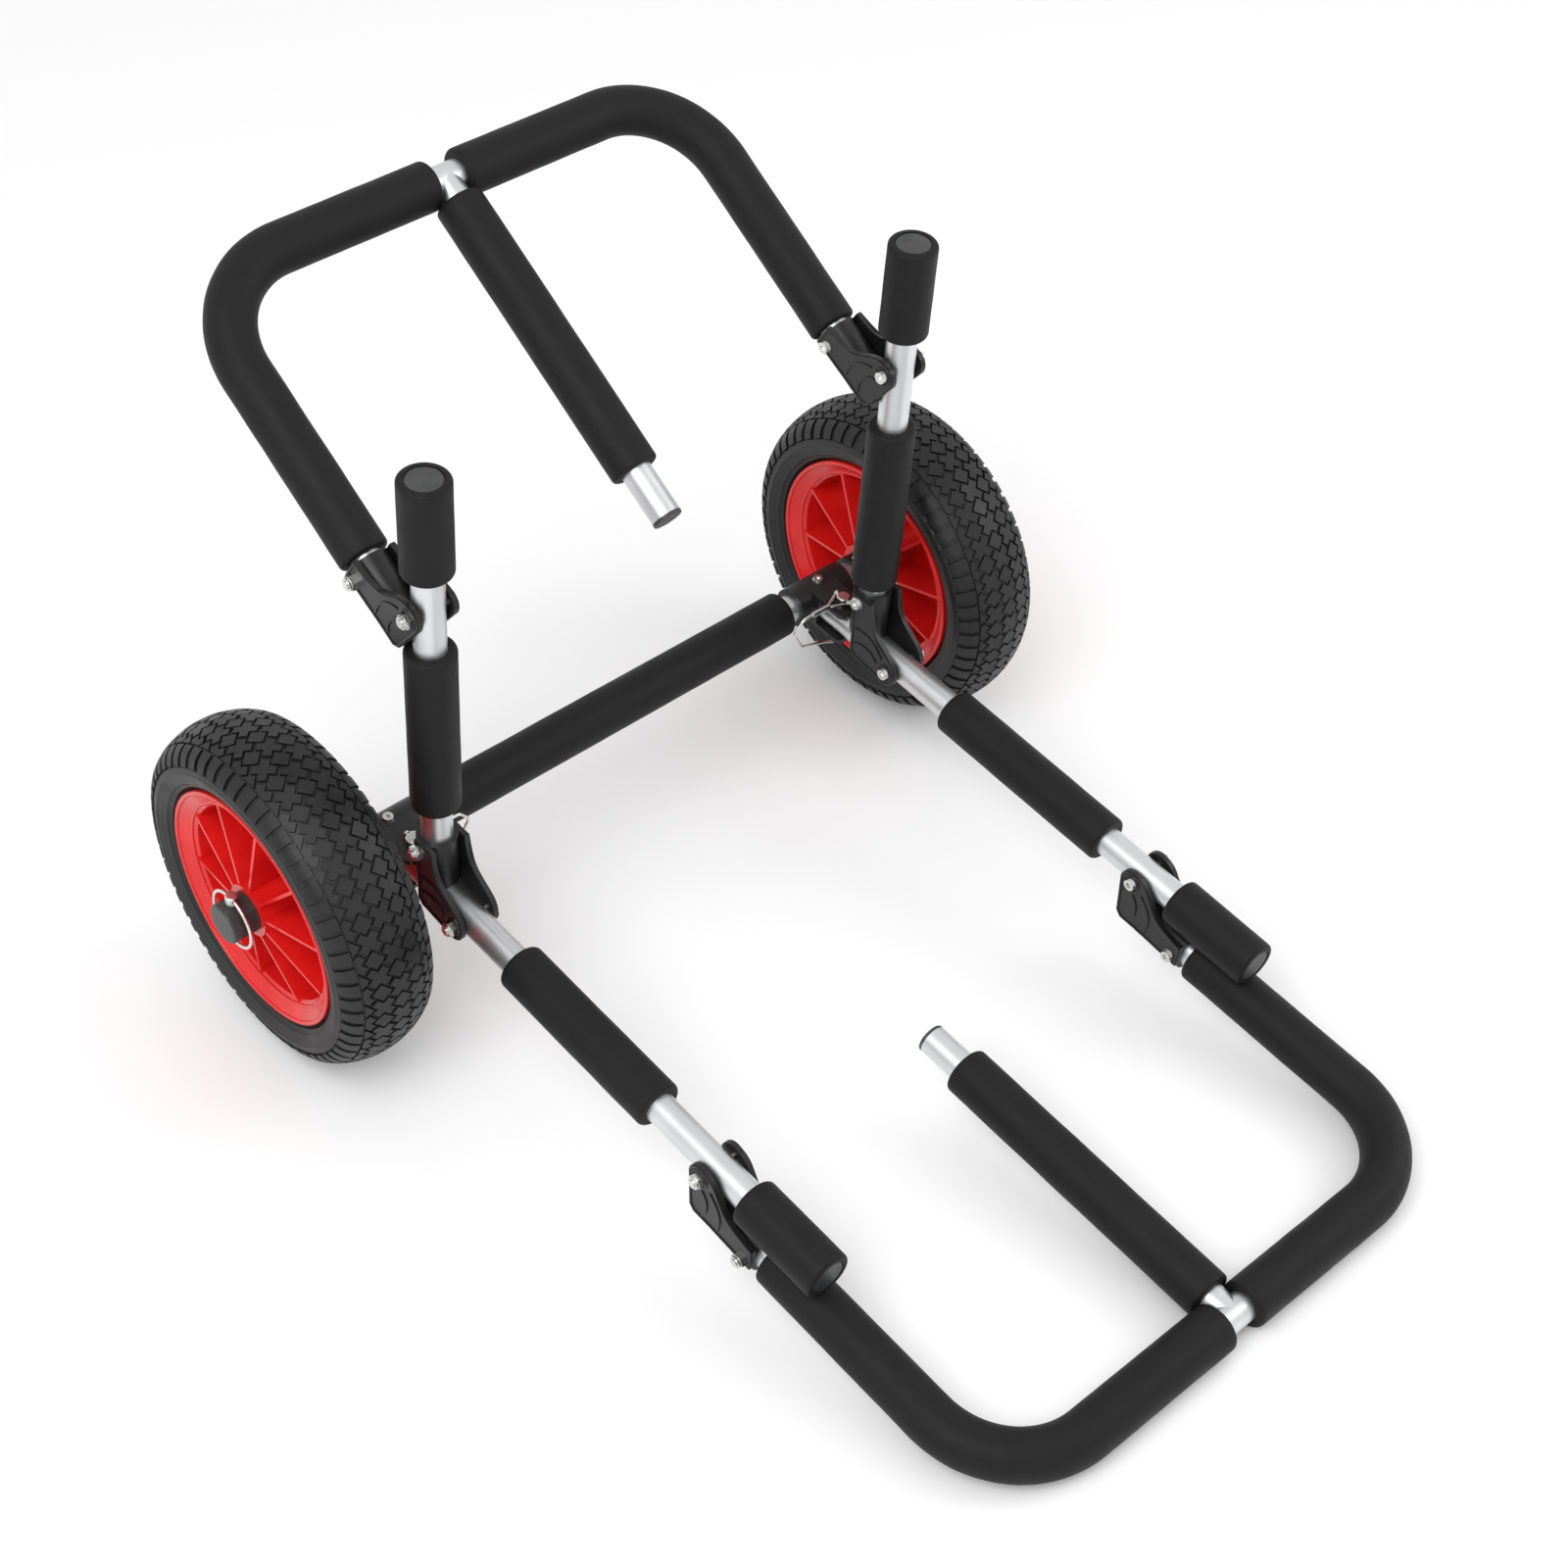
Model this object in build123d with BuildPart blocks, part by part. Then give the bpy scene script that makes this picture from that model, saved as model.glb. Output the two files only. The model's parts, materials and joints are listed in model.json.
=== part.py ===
"""Folding beach cart on two wheels, built from bent and straight tubes in foam sleeves.

Every tube lies in one of four flat layers that hinge on each other about X:
the arms on the axle, the uprights on the arms, the rear bow on the uprights and
the front bow under the arms.  Points of the frame are given in the cart's own
side plane: u runs forward along the arms and w runs square to them, from the
middle of the axle.  The arms slope down to the front, so that the wheels and the
front bow's crossbar stand on one floor.
"""

import os
from math import asin, atan2, cos, degrees, hypot, radians, sin

from build123d import *

os.makedirs("parts", exist_ok=True)

SIDES = {"left": 1, "right": -1}

# ---- tubes and foam -------------------------------------------------------
TUBE_R = 11.0
TUBE_WALL = 1.5
FOAM_T = 6.8
FOAM_R = TUBE_R + FOAM_T
FOAM_GAP = 0.1
FOAM_ROUND = 3.0

# ---- the frame's plan -----------------------------------------------------
RAIL_X = 204.0
ARM_START = 17.0
ARM_END = 458.0
FOOT_PIVOT_U = 95.0
FRONT_PIVOT_U = 355.0
UPRIGHT_LEAN = 2.9
UPRIGHT_END = 360.0
TOP_PIVOT_H = 258.0
REAR_RISE = 26.75
REAR_REACH = 268.0
FRONT_REACH = 275.0
BOW_CORNER_R = 70.0
REAR_STEM_TIP = -10.0
FRONT_STEM_TIP = -4.0

# ---- foam sleeves, measured along their tubes -----------------------------
AXLE_FOAM_HALF = 168.0
ARM_FOAM = {"left": (149.0, 296.0), "right": (154.0, 316.0)}
ARM_END_FOAM = {"left": (ARM_END - 70.0, ARM_END + 3.0), "right": (ARM_END - 72.0, ARM_END + 3.0)}
LEG_FOAM = {"left": (84.0, 224.0), "right": (62.0, 208.0)}
GRIP_FOAM = (UPRIGHT_END - 71.0, UPRIGHT_END + 3.0)
REAR_BOW_FOAM_START = 56.5
FRONT_BOW_FOAM_START = 60.0
STEM_FOAM_START = 27.5
CROSSBAR_BARE_HALF = 12.0

# ---- hinge bracket --------------------------------------------------------
TUBE_CLEARANCE = 0.3
SOCKET_FIT = 0.05
PIVOT_OFFSET = 2 * TUBE_R + 14.0
CHEEK_GAP = 1.2
CHEEK_IN = TUBE_R + CHEEK_GAP
CHEEK_T = 3.6
EAR_R = 10.5
SOCKET_WALL = 3.55
SOCKET_R = TUBE_R + SOCKET_FIT + SOCKET_WALL
SOCKET_FLOOR = 12.0
SOCKET_FLOOR_T = 3.2
SOCKET_END = 54.0
FIXING_S = 46.0
HEEL_S = -6.2
BACK_N = PIVOT_OFFSET + 2.4
HEEL_T = 2.6
HEEL_CUT = 4.6
BACK_FLARE = 2.4
NECK_POINTS = ((12.5, -6.0), (29.0, 14.0))

# ---- bolts ----------------------------------------------------------------
BOLT_R = 3.0
BOLT_HEAD_R = 5.4
BOLT_HEAD_H = 3.2
BOLT_HEX = 4.0
BOLT_HEX_DEPTH = 1.9
NUT_WIDTH = 10.0
NUT_H = 6.0
NUT_COLLAR_R = 4.6
BOLT_TAIL = 1.2
BOLT_FIT = 0.05
PIVOT_FIT = 0.08
SCREW_R = 2.4
SCREW_HEAD_R = 4.6
SCREW_HEAD_H = 2.6
SCREW_HEX = 3.0
SCREW_TIP_H = 7.5
SCREW_SEAT_DEPTH = 0.6

# ---- axle fittings --------------------------------------------------------
WHEEL_X = RAIL_X + 83.0
HUB_HALF = 34.0
AXIAL_PLAY = 0.3
AXLE_END_X = WHEEL_X + 50.0
CLAMP_HALF = 26.0
CLAMP_WALL = 4.6
CLAMP_R = TUBE_R + CLAMP_WALL
CLAMP_REACH = 42.0
CLAMP_PLATE_HALF = 13.0
CLAMP_PLATE_IN = TUBE_R + 0.1
CLAMP_CORNER_R = 5.0
CLAMP_PLATE_T = 3.8
CLAMP_BLOCK_END = CLAMP_R + 0.8
LOCK_PIN_U = 28.5
LOCK_PIN_R = 3.0
LOCK_PIN_FIT = 0.08
LOCK_PIN_TIP = -(CLAMP_PLATE_IN + CLAMP_PLATE_T + 12.6)
LOCK_HEAD_R = 5.2
LOCK_HEAD_H = 5.6
LOCK_PEG_R = 1.4
LOCK_PEG_HALF = 8.6
PIN_HEAD_ROUND = 0.9
COLLAR_LENGTH = 13.7
COLLAR_START = WHEEL_X - HUB_HALF - AXIAL_PLAY - COLLAR_LENGTH
COLLAR_R = TUBE_R + 4.0
COLLAR_SCREW_X = COLLAR_START + 7.0

# ---- wheels ---------------------------------------------------------------
WHEEL_R = 130.0
TYRE_HALF = 38.0
TYRE_SHOULDER_X = 31.0
TYRE_SHOULDER_DROP = 9.0
TYRE_WALL = 7.0
TYRE_CAVITY_HALF = 27.0
SEAT_GAP = 0.1
RIM_LIP_R = WHEEL_R - 40.0
RIM_HALF = 33.0
RIM_SEAT_R = RIM_LIP_R - 8.0
RIM_SEAT_HALF = 25.0
RIM_FLANGE_X = 29.0
RIM_THROAT_R = RIM_LIP_R - 15.0
RIM_FLOOR_R = RIM_THROAT_R - 3.5
RIM_WEB_T = 4.0
RIB_COUNT = 10
RIB_T = 2.4
RIB_OUTER_X = 24.0
RIB_PHASE = 16.0
BUSH_WALL = 4.0
BUSH_R = TUBE_R + BUSH_WALL
HUB_R = BUSH_R + 5.0
BUSH_LENGTH = 24.0
BUSH_FIT = 0.06
END_CAP_R = TUBE_R + 4.0
END_CAP_END = AXLE_END_X + 5.0
WHEEL_PIN_X = AXLE_END_X - 3.5
WHEEL_PIN_R = 2.5
WHEEL_PIN_TOP = 25.5
WHEEL_PIN_TIP = -19.0
WHEEL_PIN_HEAD_R = 4.2
WHEEL_PIN_HEAD_H = 8.0
WHEEL_PIN_FIT = 0.08
RING_WIRE_R = 1.3
RING_R = 22.0
RING_HOLE_R = 1.95

# ---- wire bail of the lock pin --------------------------------------------
BAIL_WIRE_R = 1.1
BAIL_EYE_R = 2.6
BAIL_EYE_T = 1.8
BAIL_EYE_IN = 6.1
BAIL_FERRULE_R = 2.3
BAIL_FERRULE = (15.0, 31.0)
BAIL_ROUTE = ((31.0, 0.6), (41.0, 0.0), (49.5, -11.0), (39.0, -30.0), (15.0, -38.5), (4.2, -44.5))
BAIL_BEND_R = 5.5
BAIL_FIT = 0.06

# ---- the end plugs --------------------------------------------------------
PLUG_HEAD_R = TUBE_R + 1.5
PLUG_HEAD_T = 2.6
PLUG_DEPTH = 14.0
PLUG_ROUND = 0.8
PLUG_POCKET_GAP = 0.3

# ---- worked out from the above --------------------------------------------
HUB_INNER_X = WHEEL_X - HUB_HALF
HUB_OUTER_X = WHEEL_X + HUB_HALF
LOCK_HEAD_BASE = CLAMP_PLATE_IN + CLAMP_PLATE_T + 0.3
BAIL_W = LOCK_HEAD_BASE + LOCK_HEAD_H / 2
ACROSS = Vector(1, 0, 0)
UPRIGHT_ANGLE = 90 + UPRIGHT_LEAN
REAR_ANGLE = 180 - REAR_RISE
HEEL_ANGLE = REAR_ANGLE - UPRIGHT_ANGLE
FRONT_CROSSBAR_U = FRONT_PIVOT_U + FRONT_REACH
TILT = degrees(
    asin((WHEEL_R - FOAM_R) / hypot(FRONT_CROSSBAR_U, PIVOT_OFFSET)) - atan2(PIVOT_OFFSET, FRONT_CROSSBAR_U)
)


def turned(angle):
    """Direction in the side plane: 0 is forward along the arms, 90 square above them."""
    return Vector(0, cos(radians(angle - TILT)), sin(radians(angle - TILT)))


def side_offset(u, w):
    """World offset from the axle of a point of the side plane."""
    return turned(0) * u + turned(90) * w


FOOT_AXIS = side_offset(FOOT_PIVOT_U, 0)
UPRIGHT_BASE = FOOT_AXIS + turned(UPRIGHT_ANGLE + 90) * PIVOT_OFFSET
TOP_AXIS = UPRIGHT_BASE + turned(UPRIGHT_ANGLE) * TOP_PIVOT_H
REAR_BASE = TOP_AXIS + turned(REAR_ANGLE + 90) * PIVOT_OFFSET
FRONT_AXIS = side_offset(FRONT_PIVOT_U, 0)
FRONT_BASE = FRONT_AXIS + turned(-90) * PIVOT_OFFSET
REAR_EDGE_Y = (REAR_BASE + turned(REAR_ANGLE) * REAR_REACH).Y - FOAM_R
FRONT_EDGE_Y = (FRONT_BASE + turned(0) * FRONT_REACH).Y + FOAM_R
AXLE = Vector(0, -(REAR_EDGE_Y + FRONT_EDGE_Y) / 2, WHEEL_R)
AXLE_CENTRE = Vector(0, 0, 0)


def at(offset, x=0.0):
    """World point at a side-plane offset from the axle, x across the cart."""
    return AXLE + offset + ACROSS * x


def tube_plane(base, angle, distance, x):
    """Plane square across a tube of the side plane, at a distance along it."""
    return Plane(origin=at(base + turned(angle) * distance, x), x_dir=ACROSS, z_dir=turned(angle))


def cross_plane(base, angle, distance, x):
    """Plane whose normal runs across the cart, centred on a tube's axis."""
    origin = at(base + turned(angle) * distance, x)
    return Plane(origin=origin, x_dir=turned(angle), z_dir=ACROSS)


def axle_plane(x):
    """Plane square across the axle at x, its own y axis along w."""
    return Plane(origin=AXLE + ACROSS * x, x_dir=turned(0), z_dir=ACROSS)


def write(part, name):
    """Label a finished piece and write it as its own STEP file."""
    part.label = name
    export_step(part, f"parts/{name}.step")


def straight_tube(base, angle, start, end, x, holes):
    """Round tube along the side plane; holes gives each cross hole's station and radius."""
    with BuildPart() as tube:
        with BuildSketch(tube_plane(base, angle, start, x)):
            Circle(TUBE_R)
            Circle(TUBE_R - TUBE_WALL, mode=Mode.SUBTRACT)
        extrude(amount=end - start)
        for station, hole_r in holes.items():
            with BuildSketch(cross_plane(base, angle, station, x)):
                Circle(hole_r)
            extrude(amount=TUBE_R + 1, both=True, mode=Mode.SUBTRACT)
    return tube


def straight_foam(plane, length, pocket=0.0):
    """Foam sleeve that slips over a tube, its outer ends rounded, with room for a plug's head."""
    with BuildPart() as foam:
        with BuildSketch(plane):
            Circle(FOAM_R)
        extrude(amount=length)
        fillet(foam.edges(), FOAM_ROUND)
        with BuildSketch(plane):
            Circle(TUBE_R + FOAM_GAP)
        extrude(amount=length, mode=Mode.SUBTRACT)
        if pocket:
            with BuildSketch(plane.offset(length)):
                Circle(PLUG_HEAD_R + PLUG_POCKET_GAP)
            extrude(amount=-pocket, mode=Mode.SUBTRACT)
    return foam


def tube_plug(plane, head_r):
    """Plug pushed into a tube's end; the plane lies on the tube's end face."""
    with BuildPart() as plug:
        with BuildSketch(plane):
            Circle(head_r)
        extrude(amount=PLUG_HEAD_T)
        fillet(plug.edges(), PLUG_ROUND)
        with BuildSketch(plane):
            Circle(TUBE_R - TUBE_WALL - FOAM_GAP)
        extrude(amount=-PLUG_DEPTH)
    return plug


# ---- bows and their stems -------------------------------------------------
def bow_plane(base, angle):
    """Plane that a bow lies in: x across the cart, y along the bow's arms."""
    return Plane(origin=at(base), x_dir=ACROSS, z_dir=ACROSS.cross(turned(angle)))


def swept_ring(plane, points, outer_r, inner_r):
    """Ring section swept along a polyline whose corners are bent to the bow's radius."""
    with BuildPart() as piece:
        with BuildLine(plane) as route:
            FilletPolyline(*points, radius=BOW_CORNER_R)
        with BuildSketch(Plane(origin=route.line @ 0, z_dir=route.line % 0)):
            Circle(outer_r)
            Circle(inner_r, mode=Mode.SUBTRACT)
        sweep(path=route.line)
    return piece


def bow_tube(base, angle, reach):
    """U-shaped tube from socket to socket, drilled for its two fixing bolts."""
    start = SOCKET_FLOOR + SOCKET_FLOOR_T
    points = ((-RAIL_X, start), (-RAIL_X, reach), (RAIL_X, reach), (RAIL_X, start))
    bent = swept_ring(bow_plane(base, angle), points, TUBE_R, TUBE_R - TUBE_WALL)
    with BuildPart() as bow:
        add(bent.part)
        for x in (-RAIL_X, RAIL_X):
            with BuildSketch(cross_plane(base, angle, FIXING_S, x)):
                Circle(BOLT_R + BOLT_FIT)
            extrude(amount=TUBE_R + 1, both=True, mode=Mode.SUBTRACT)
    return bow


def bow_foam(base, angle, reach, foam_start, side):
    """Foam over one arm, one corner and half of the crossbar."""
    points = ((side * RAIL_X, foam_start), (side * RAIL_X, reach), (side * CROSSBAR_BARE_HALF, reach))
    return swept_ring(bow_plane(base, angle), points, FOAM_R, TUBE_R + FOAM_GAP)


def stem_tube(base, angle, reach, tip):
    """Straight stem, coped to the crossbar that it is welded to."""
    with BuildPart() as stem:
        with BuildSketch(tube_plane(base, angle, tip, 0)):
            Circle(TUBE_R)
            Circle(TUBE_R - TUBE_WALL, mode=Mode.SUBTRACT)
        extrude(amount=reach - tip)
        with BuildSketch(cross_plane(base, angle, reach, 0)):
            Circle(TUBE_R)
        extrude(amount=TUBE_R + 1, both=True, mode=Mode.SUBTRACT)
    return stem


# ---- hinge bracket --------------------------------------------------------
def bracket_plane(axis_offset, angle, turn, x):
    """Bracket's own plane on its pivot: x along the socket, y towards the socket's axis."""
    return Plane(origin=at(axis_offset, x), x_dir=turned(angle), z_dir=ACROSS * turn)


def cheek_outline():
    """Outline of a cheek: a round ear, a neck that falls to the socket and a straight back."""
    shoulder = (SOCKET_END, PIVOT_OFFSET - SOCKET_R)
    ear_side = EAR_R * sin(radians(45))
    with BuildSketch() as cheek:
        with BuildLine():
            ThreePointArc((-EAR_R, 0), (-ear_side, -ear_side), (0, -EAR_R))
            Spline((0, -EAR_R), *NECK_POINTS, shoulder, tangents=((1, 0), (1, 0.12)))
            Polyline(shoulder, (SOCKET_END, BACK_N + BACK_FLARE), (15, BACK_N), (HEEL_S + HEEL_CUT, BACK_N),
                     (HEEL_S, BACK_N - HEEL_CUT), (-EAR_R, 0))
        make_face()
    return cheek


def heel_web():
    """Section of the web that joins the cheeks behind the ears and stops the fold."""
    inner = BACK_N - HEEL_CUT - HEEL_T
    with BuildSketch() as web:
        with BuildLine():
            Polyline((HEEL_S, BACK_N - HEEL_CUT), (HEEL_S + HEEL_CUT, BACK_N), (SOCKET_FLOOR + HEEL_T, BACK_N),
                     (SOCKET_FLOOR + HEEL_T, inner), (HEEL_S + HEEL_CUT, inner), close=True)
        make_face()
    return web


def hinge_bracket(plane, tube_angle, heel):
    """Moulded bracket: a socket for one tube between two ears that straddle another."""
    cheek = cheek_outline()
    web = heel_web()
    cheek_mid = CHEEK_IN + CHEEK_T / 2
    socket_plane = Plane(origin=plane.from_local_coords(Vector(SOCKET_FLOOR, PIVOT_OFFSET, 0)),
                         x_dir=plane.z_dir, z_dir=plane.x_dir)
    tube_dir = plane.y_dir * sin(radians(tube_angle)) - plane.x_dir * cos(radians(tube_angle))
    with BuildPart() as bracket:
        for side in SIDES.values():
            with BuildSketch(plane.offset(side * cheek_mid)):
                add(cheek.sketch)
            extrude(amount=CHEEK_T / 2, both=True)
        with BuildSketch(socket_plane):
            Circle(SOCKET_R)
        extrude(amount=SOCKET_END - SOCKET_FLOOR)
        if heel:
            with BuildSketch(plane):
                add(web.sketch)
            extrude(amount=CHEEK_IN + CHEEK_T / 2, both=True)
        with BuildSketch(socket_plane.offset(SOCKET_FLOOR_T)):
            Circle(TUBE_R + SOCKET_FIT)
        extrude(amount=SOCKET_END, mode=Mode.SUBTRACT)
        with BuildSketch(Plane(origin=plane.origin, x_dir=plane.z_dir, z_dir=tube_dir)):
            Circle(TUBE_R + TUBE_CLEARANCE)
        extrude(amount=SOCKET_END * 2, both=True, mode=Mode.SUBTRACT)
        for spot in ((0, 0), (FIXING_S, PIVOT_OFFSET)):
            with BuildSketch(plane):
                with Locations(spot):
                    Circle(BOLT_R + BOLT_FIT)
            extrude(amount=CHEEK_IN + CHEEK_T + 1, both=True, mode=Mode.SUBTRACT)
    return bracket


# ---- fasteners ------------------------------------------------------------
def bolt_planes(axis_offset, angle, turn):
    """Planes of a hinge's four bolts, each with its z axis from head to nut."""
    planes = []
    for side in SIDES.values():
        pivot = bracket_plane(axis_offset, angle, turn, side * RAIL_X)
        for spot in (Vector(0, 0, 0), Vector(FIXING_S, PIVOT_OFFSET, 0)):
            planes.append(Plane(origin=pivot.from_local_coords(spot), x_dir=turned(angle), z_dir=ACROSS * side))
    return planes


def button_bolts(planes):
    """Button-head bolts through both cheeks, heads inward."""
    seat = CHEEK_IN + CHEEK_T
    with BuildPart() as bolts:
        for plane in planes:
            with BuildSketch(plane.offset(-seat)):
                Circle(BOLT_HEAD_R)
            extrude(amount=-BOLT_HEAD_H, taper=18)
            with BuildSketch(plane.offset(-seat)):
                Circle(BOLT_R)
            extrude(amount=2 * seat + NUT_H + BOLT_TAIL)
            with BuildSketch(plane.offset(-seat - BOLT_HEAD_H)):
                RegularPolygon(BOLT_HEX / 2, 6, major_radius=False)
            extrude(amount=BOLT_HEX_DEPTH, mode=Mode.SUBTRACT)
    return bolts


def lock_nuts(planes):
    """Hexagon nuts with a round locking collar, on the outer cheeks."""
    with BuildPart() as nuts:
        for plane in planes:
            seat = plane.offset(CHEEK_IN + CHEEK_T)
            with BuildSketch(seat):
                RegularPolygon(NUT_WIDTH / 2, 6, major_radius=False)
            extrude(amount=NUT_H * 0.75)
            with BuildSketch(seat.offset(NUT_H * 0.75)):
                Circle(NUT_COLLAR_R)
            extrude(amount=NUT_H * 0.25)
            with BuildSketch(seat):
                Circle(BOLT_R + BOLT_FIT)
            extrude(amount=NUT_H, mode=Mode.SUBTRACT)
    return nuts


def axle_up_plane(x, height):
    """Plane square to w, above the axle."""
    return Plane(origin=at(side_offset(0, height), x), x_dir=ACROSS, z_dir=turned(90))


def axle_screws():
    """Screws that hold the clamps and the collars on the axle, from above."""
    with BuildPart() as screws:
        for side in SIDES.values():
            for x, seat in ((RAIL_X, CLAMP_R), (COLLAR_SCREW_X, COLLAR_R)):
                with BuildSketch(axle_up_plane(side * x, seat - SCREW_SEAT_DEPTH)):
                    Circle(SCREW_HEAD_R)
                extrude(amount=SCREW_HEAD_H, taper=16)
                with BuildSketch(axle_up_plane(side * x, SCREW_TIP_H)):
                    Circle(SCREW_R)
                extrude(amount=seat - SCREW_SEAT_DEPTH - SCREW_TIP_H)
                with BuildSketch(axle_up_plane(side * x, seat - SCREW_SEAT_DEPTH + SCREW_HEAD_H)):
                    RegularPolygon(SCREW_HEX / 2, 6, major_radius=False)
                extrude(amount=-BOLT_HEX_DEPTH, mode=Mode.SUBTRACT)
    return screws


def screw_seat(x, seat):
    """Tool body of a screw's hole and of the flat pocket under its head."""
    with BuildPart() as tool:
        with BuildSketch(axle_up_plane(x, 0)):
            Circle(SCREW_R + BOLT_FIT)
        extrude(amount=seat + 1)
        with BuildSketch(axle_up_plane(x, seat - SCREW_SEAT_DEPTH)):
            Circle(SCREW_HEAD_R + BOLT_FIT)
        extrude(amount=SCREW_HEAD_H + 1)
    return tool


# ---- axle -----------------------------------------------------------------
def axle_tube():
    """Axle tube with its screw holes and the holes of the wheel pins."""
    with BuildPart() as axle:
        with BuildSketch(axle_plane(-AXLE_END_X)):
            Circle(TUBE_R)
            Circle(TUBE_R - TUBE_WALL, mode=Mode.SUBTRACT)
        extrude(amount=2 * AXLE_END_X)
        for side in SIDES.values():
            for x in (RAIL_X, COLLAR_SCREW_X):
                with BuildSketch(axle_up_plane(side * x, 0)):
                    Circle(SCREW_R + BOLT_FIT)
                extrude(amount=TUBE_R + 1, mode=Mode.SUBTRACT)
            with BuildSketch(axle_up_plane(side * WHEEL_PIN_X, 0)):
                Circle(WHEEL_PIN_R + WHEEL_PIN_FIT)
            extrude(amount=TUBE_R + 1, both=True, mode=Mode.SUBTRACT)
    return axle


def axle_clamp(side):
    """Clamp on the axle whose two plates hold an arm's rear end on the lock pin."""
    x = side * RAIL_X
    plate_mid = CLAMP_PLATE_IN + CLAMP_PLATE_T / 2
    with BuildPart() as clamp:
        with BuildSketch(axle_plane(x)):
            Circle(CLAMP_R)
            with Locations((CLAMP_BLOCK_END / 2, 0)):
                Rectangle(CLAMP_BLOCK_END, 2 * (CLAMP_PLATE_IN + CLAMP_PLATE_T))
        extrude(amount=CLAMP_PLATE_HALF, both=True)
        with BuildSketch(axle_plane(x)):
            Circle(CLAMP_R)
        extrude(amount=CLAMP_HALF, both=True)
        for level in (-plate_mid, plate_mid):
            with BuildSketch(Plane(origin=at(side_offset(0, level), x), x_dir=turned(0), z_dir=turned(90))):
                with Locations((CLAMP_REACH / 2, 0)):
                    RectangleRounded(CLAMP_REACH, 2 * CLAMP_PLATE_HALF, CLAMP_CORNER_R)
            extrude(amount=CLAMP_PLATE_T / 2, both=True)
        with BuildSketch(axle_plane(x)):
            Circle(TUBE_R + SOCKET_FIT)
        extrude(amount=CLAMP_HALF + 1, both=True, mode=Mode.SUBTRACT)
        with BuildSketch(lock_pin_plane(side, 0)):
            Circle(LOCK_PIN_R + LOCK_PIN_FIT)
        extrude(amount=CLAMP_R + 1, both=True, mode=Mode.SUBTRACT)
        add(screw_seat(x, CLAMP_R).part, mode=Mode.SUBTRACT)
    return clamp


def axle_collars():
    """Two rings that keep the wheels from sliding inward."""
    with BuildPart() as collars:
        for side in SIDES.values():
            with BuildSketch(axle_plane(side * COLLAR_START)):
                Circle(COLLAR_R)
                Circle(TUBE_R + SOCKET_FIT, mode=Mode.SUBTRACT)
            extrude(amount=side * (HUB_INNER_X - AXIAL_PLAY - COLLAR_START))
            add(screw_seat(side * COLLAR_SCREW_X, COLLAR_R).part, mode=Mode.SUBTRACT)
    return collars


def axle_end_caps():
    """Two closed sleeves on the axle's ends, outside the hubs, crossed by the wheel pins."""
    with BuildPart() as caps:
        for side in SIDES.values():
            start = HUB_OUTER_X + AXIAL_PLAY
            with BuildSketch(axle_plane(side * start)):
                Circle(END_CAP_R)
            extrude(amount=side * (END_CAP_END - start))
            end_plane = axle_plane(side * END_CAP_END)
            fillet(caps.edges().filter_by(GeomType.CIRCLE).sort_by(lambda e: end_distance(e, end_plane))[0], 1.6)
            with BuildSketch(axle_plane(side * start)):
                Circle(TUBE_R + SOCKET_FIT)
            extrude(amount=side * (AXLE_END_X - start), mode=Mode.SUBTRACT)
            with BuildSketch(axle_up_plane(side * WHEEL_PIN_X, 0)):
                Circle(WHEEL_PIN_R + WHEEL_PIN_FIT)
            extrude(amount=END_CAP_R + 1, both=True, mode=Mode.SUBTRACT)
    return caps


def end_distance(edge, plane):
    """Distance of an edge's centre from a plane."""
    return abs(plane.to_local_coords(edge.center()).Z)


# ---- arms -----------------------------------------------------------------
def arm_tube(side):
    """Lower arm: drilled for the lock pin and for the pivots of the upright and the front bow."""
    pivot_hole = BOLT_R + PIVOT_FIT
    plain = straight_tube(AXLE_CENTRE, 0, ARM_START, ARM_END, side * RAIL_X,
                          {FOOT_PIVOT_U: pivot_hole, FRONT_PIVOT_U: pivot_hole})
    with BuildPart() as arm:
        add(plain.part)
        with BuildSketch(lock_pin_plane(side, 0)):
            Circle(LOCK_PIN_R + LOCK_PIN_FIT)
        extrude(amount=TUBE_R + 1, both=True, mode=Mode.SUBTRACT)
    return arm


# ---- lock pins ------------------------------------------------------------
def lock_pin_plane(side, height):
    """Plane square across a lock pin, x across the cart towards its middle."""
    return Plane(origin=at(side_offset(LOCK_PIN_U, height), side * RAIL_X), x_dir=ACROSS * -side, z_dir=turned(90))


def lock_pin(side):
    """Pin that drops through clamp and arm, with a cross peg in its head for the bail."""
    with BuildPart() as pin:
        with BuildSketch(lock_pin_plane(side, LOCK_PIN_TIP)):
            Circle(LOCK_PIN_R)
        extrude(amount=LOCK_HEAD_BASE - LOCK_PIN_TIP)
        with BuildSketch(lock_pin_plane(side, LOCK_HEAD_BASE)):
            Circle(LOCK_HEAD_R)
        extrude(amount=LOCK_HEAD_H)
        fillet(pin.edges().filter_by(GeomType.CIRCLE).group_by(SortBy.RADIUS)[-1], PIN_HEAD_ROUND)
        peg = Plane(origin=at(side_offset(LOCK_PIN_U, BAIL_W), side * RAIL_X), x_dir=ACROSS, z_dir=turned(0))
        with BuildSketch(peg):
            Circle(LOCK_PEG_R)
        extrude(amount=LOCK_PEG_HALF, both=True)
    return pin


def bail_plane(side, shift=0.0):
    """Plane that the bail lies in: x towards the cart's middle, y up along the pin."""
    origin = at(side_offset(LOCK_PIN_U + shift, BAIL_W), side * RAIL_X)
    across = ACROSS * -side
    return Plane(origin=origin, x_dir=across, z_dir=across.cross(turned(90)))


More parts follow.
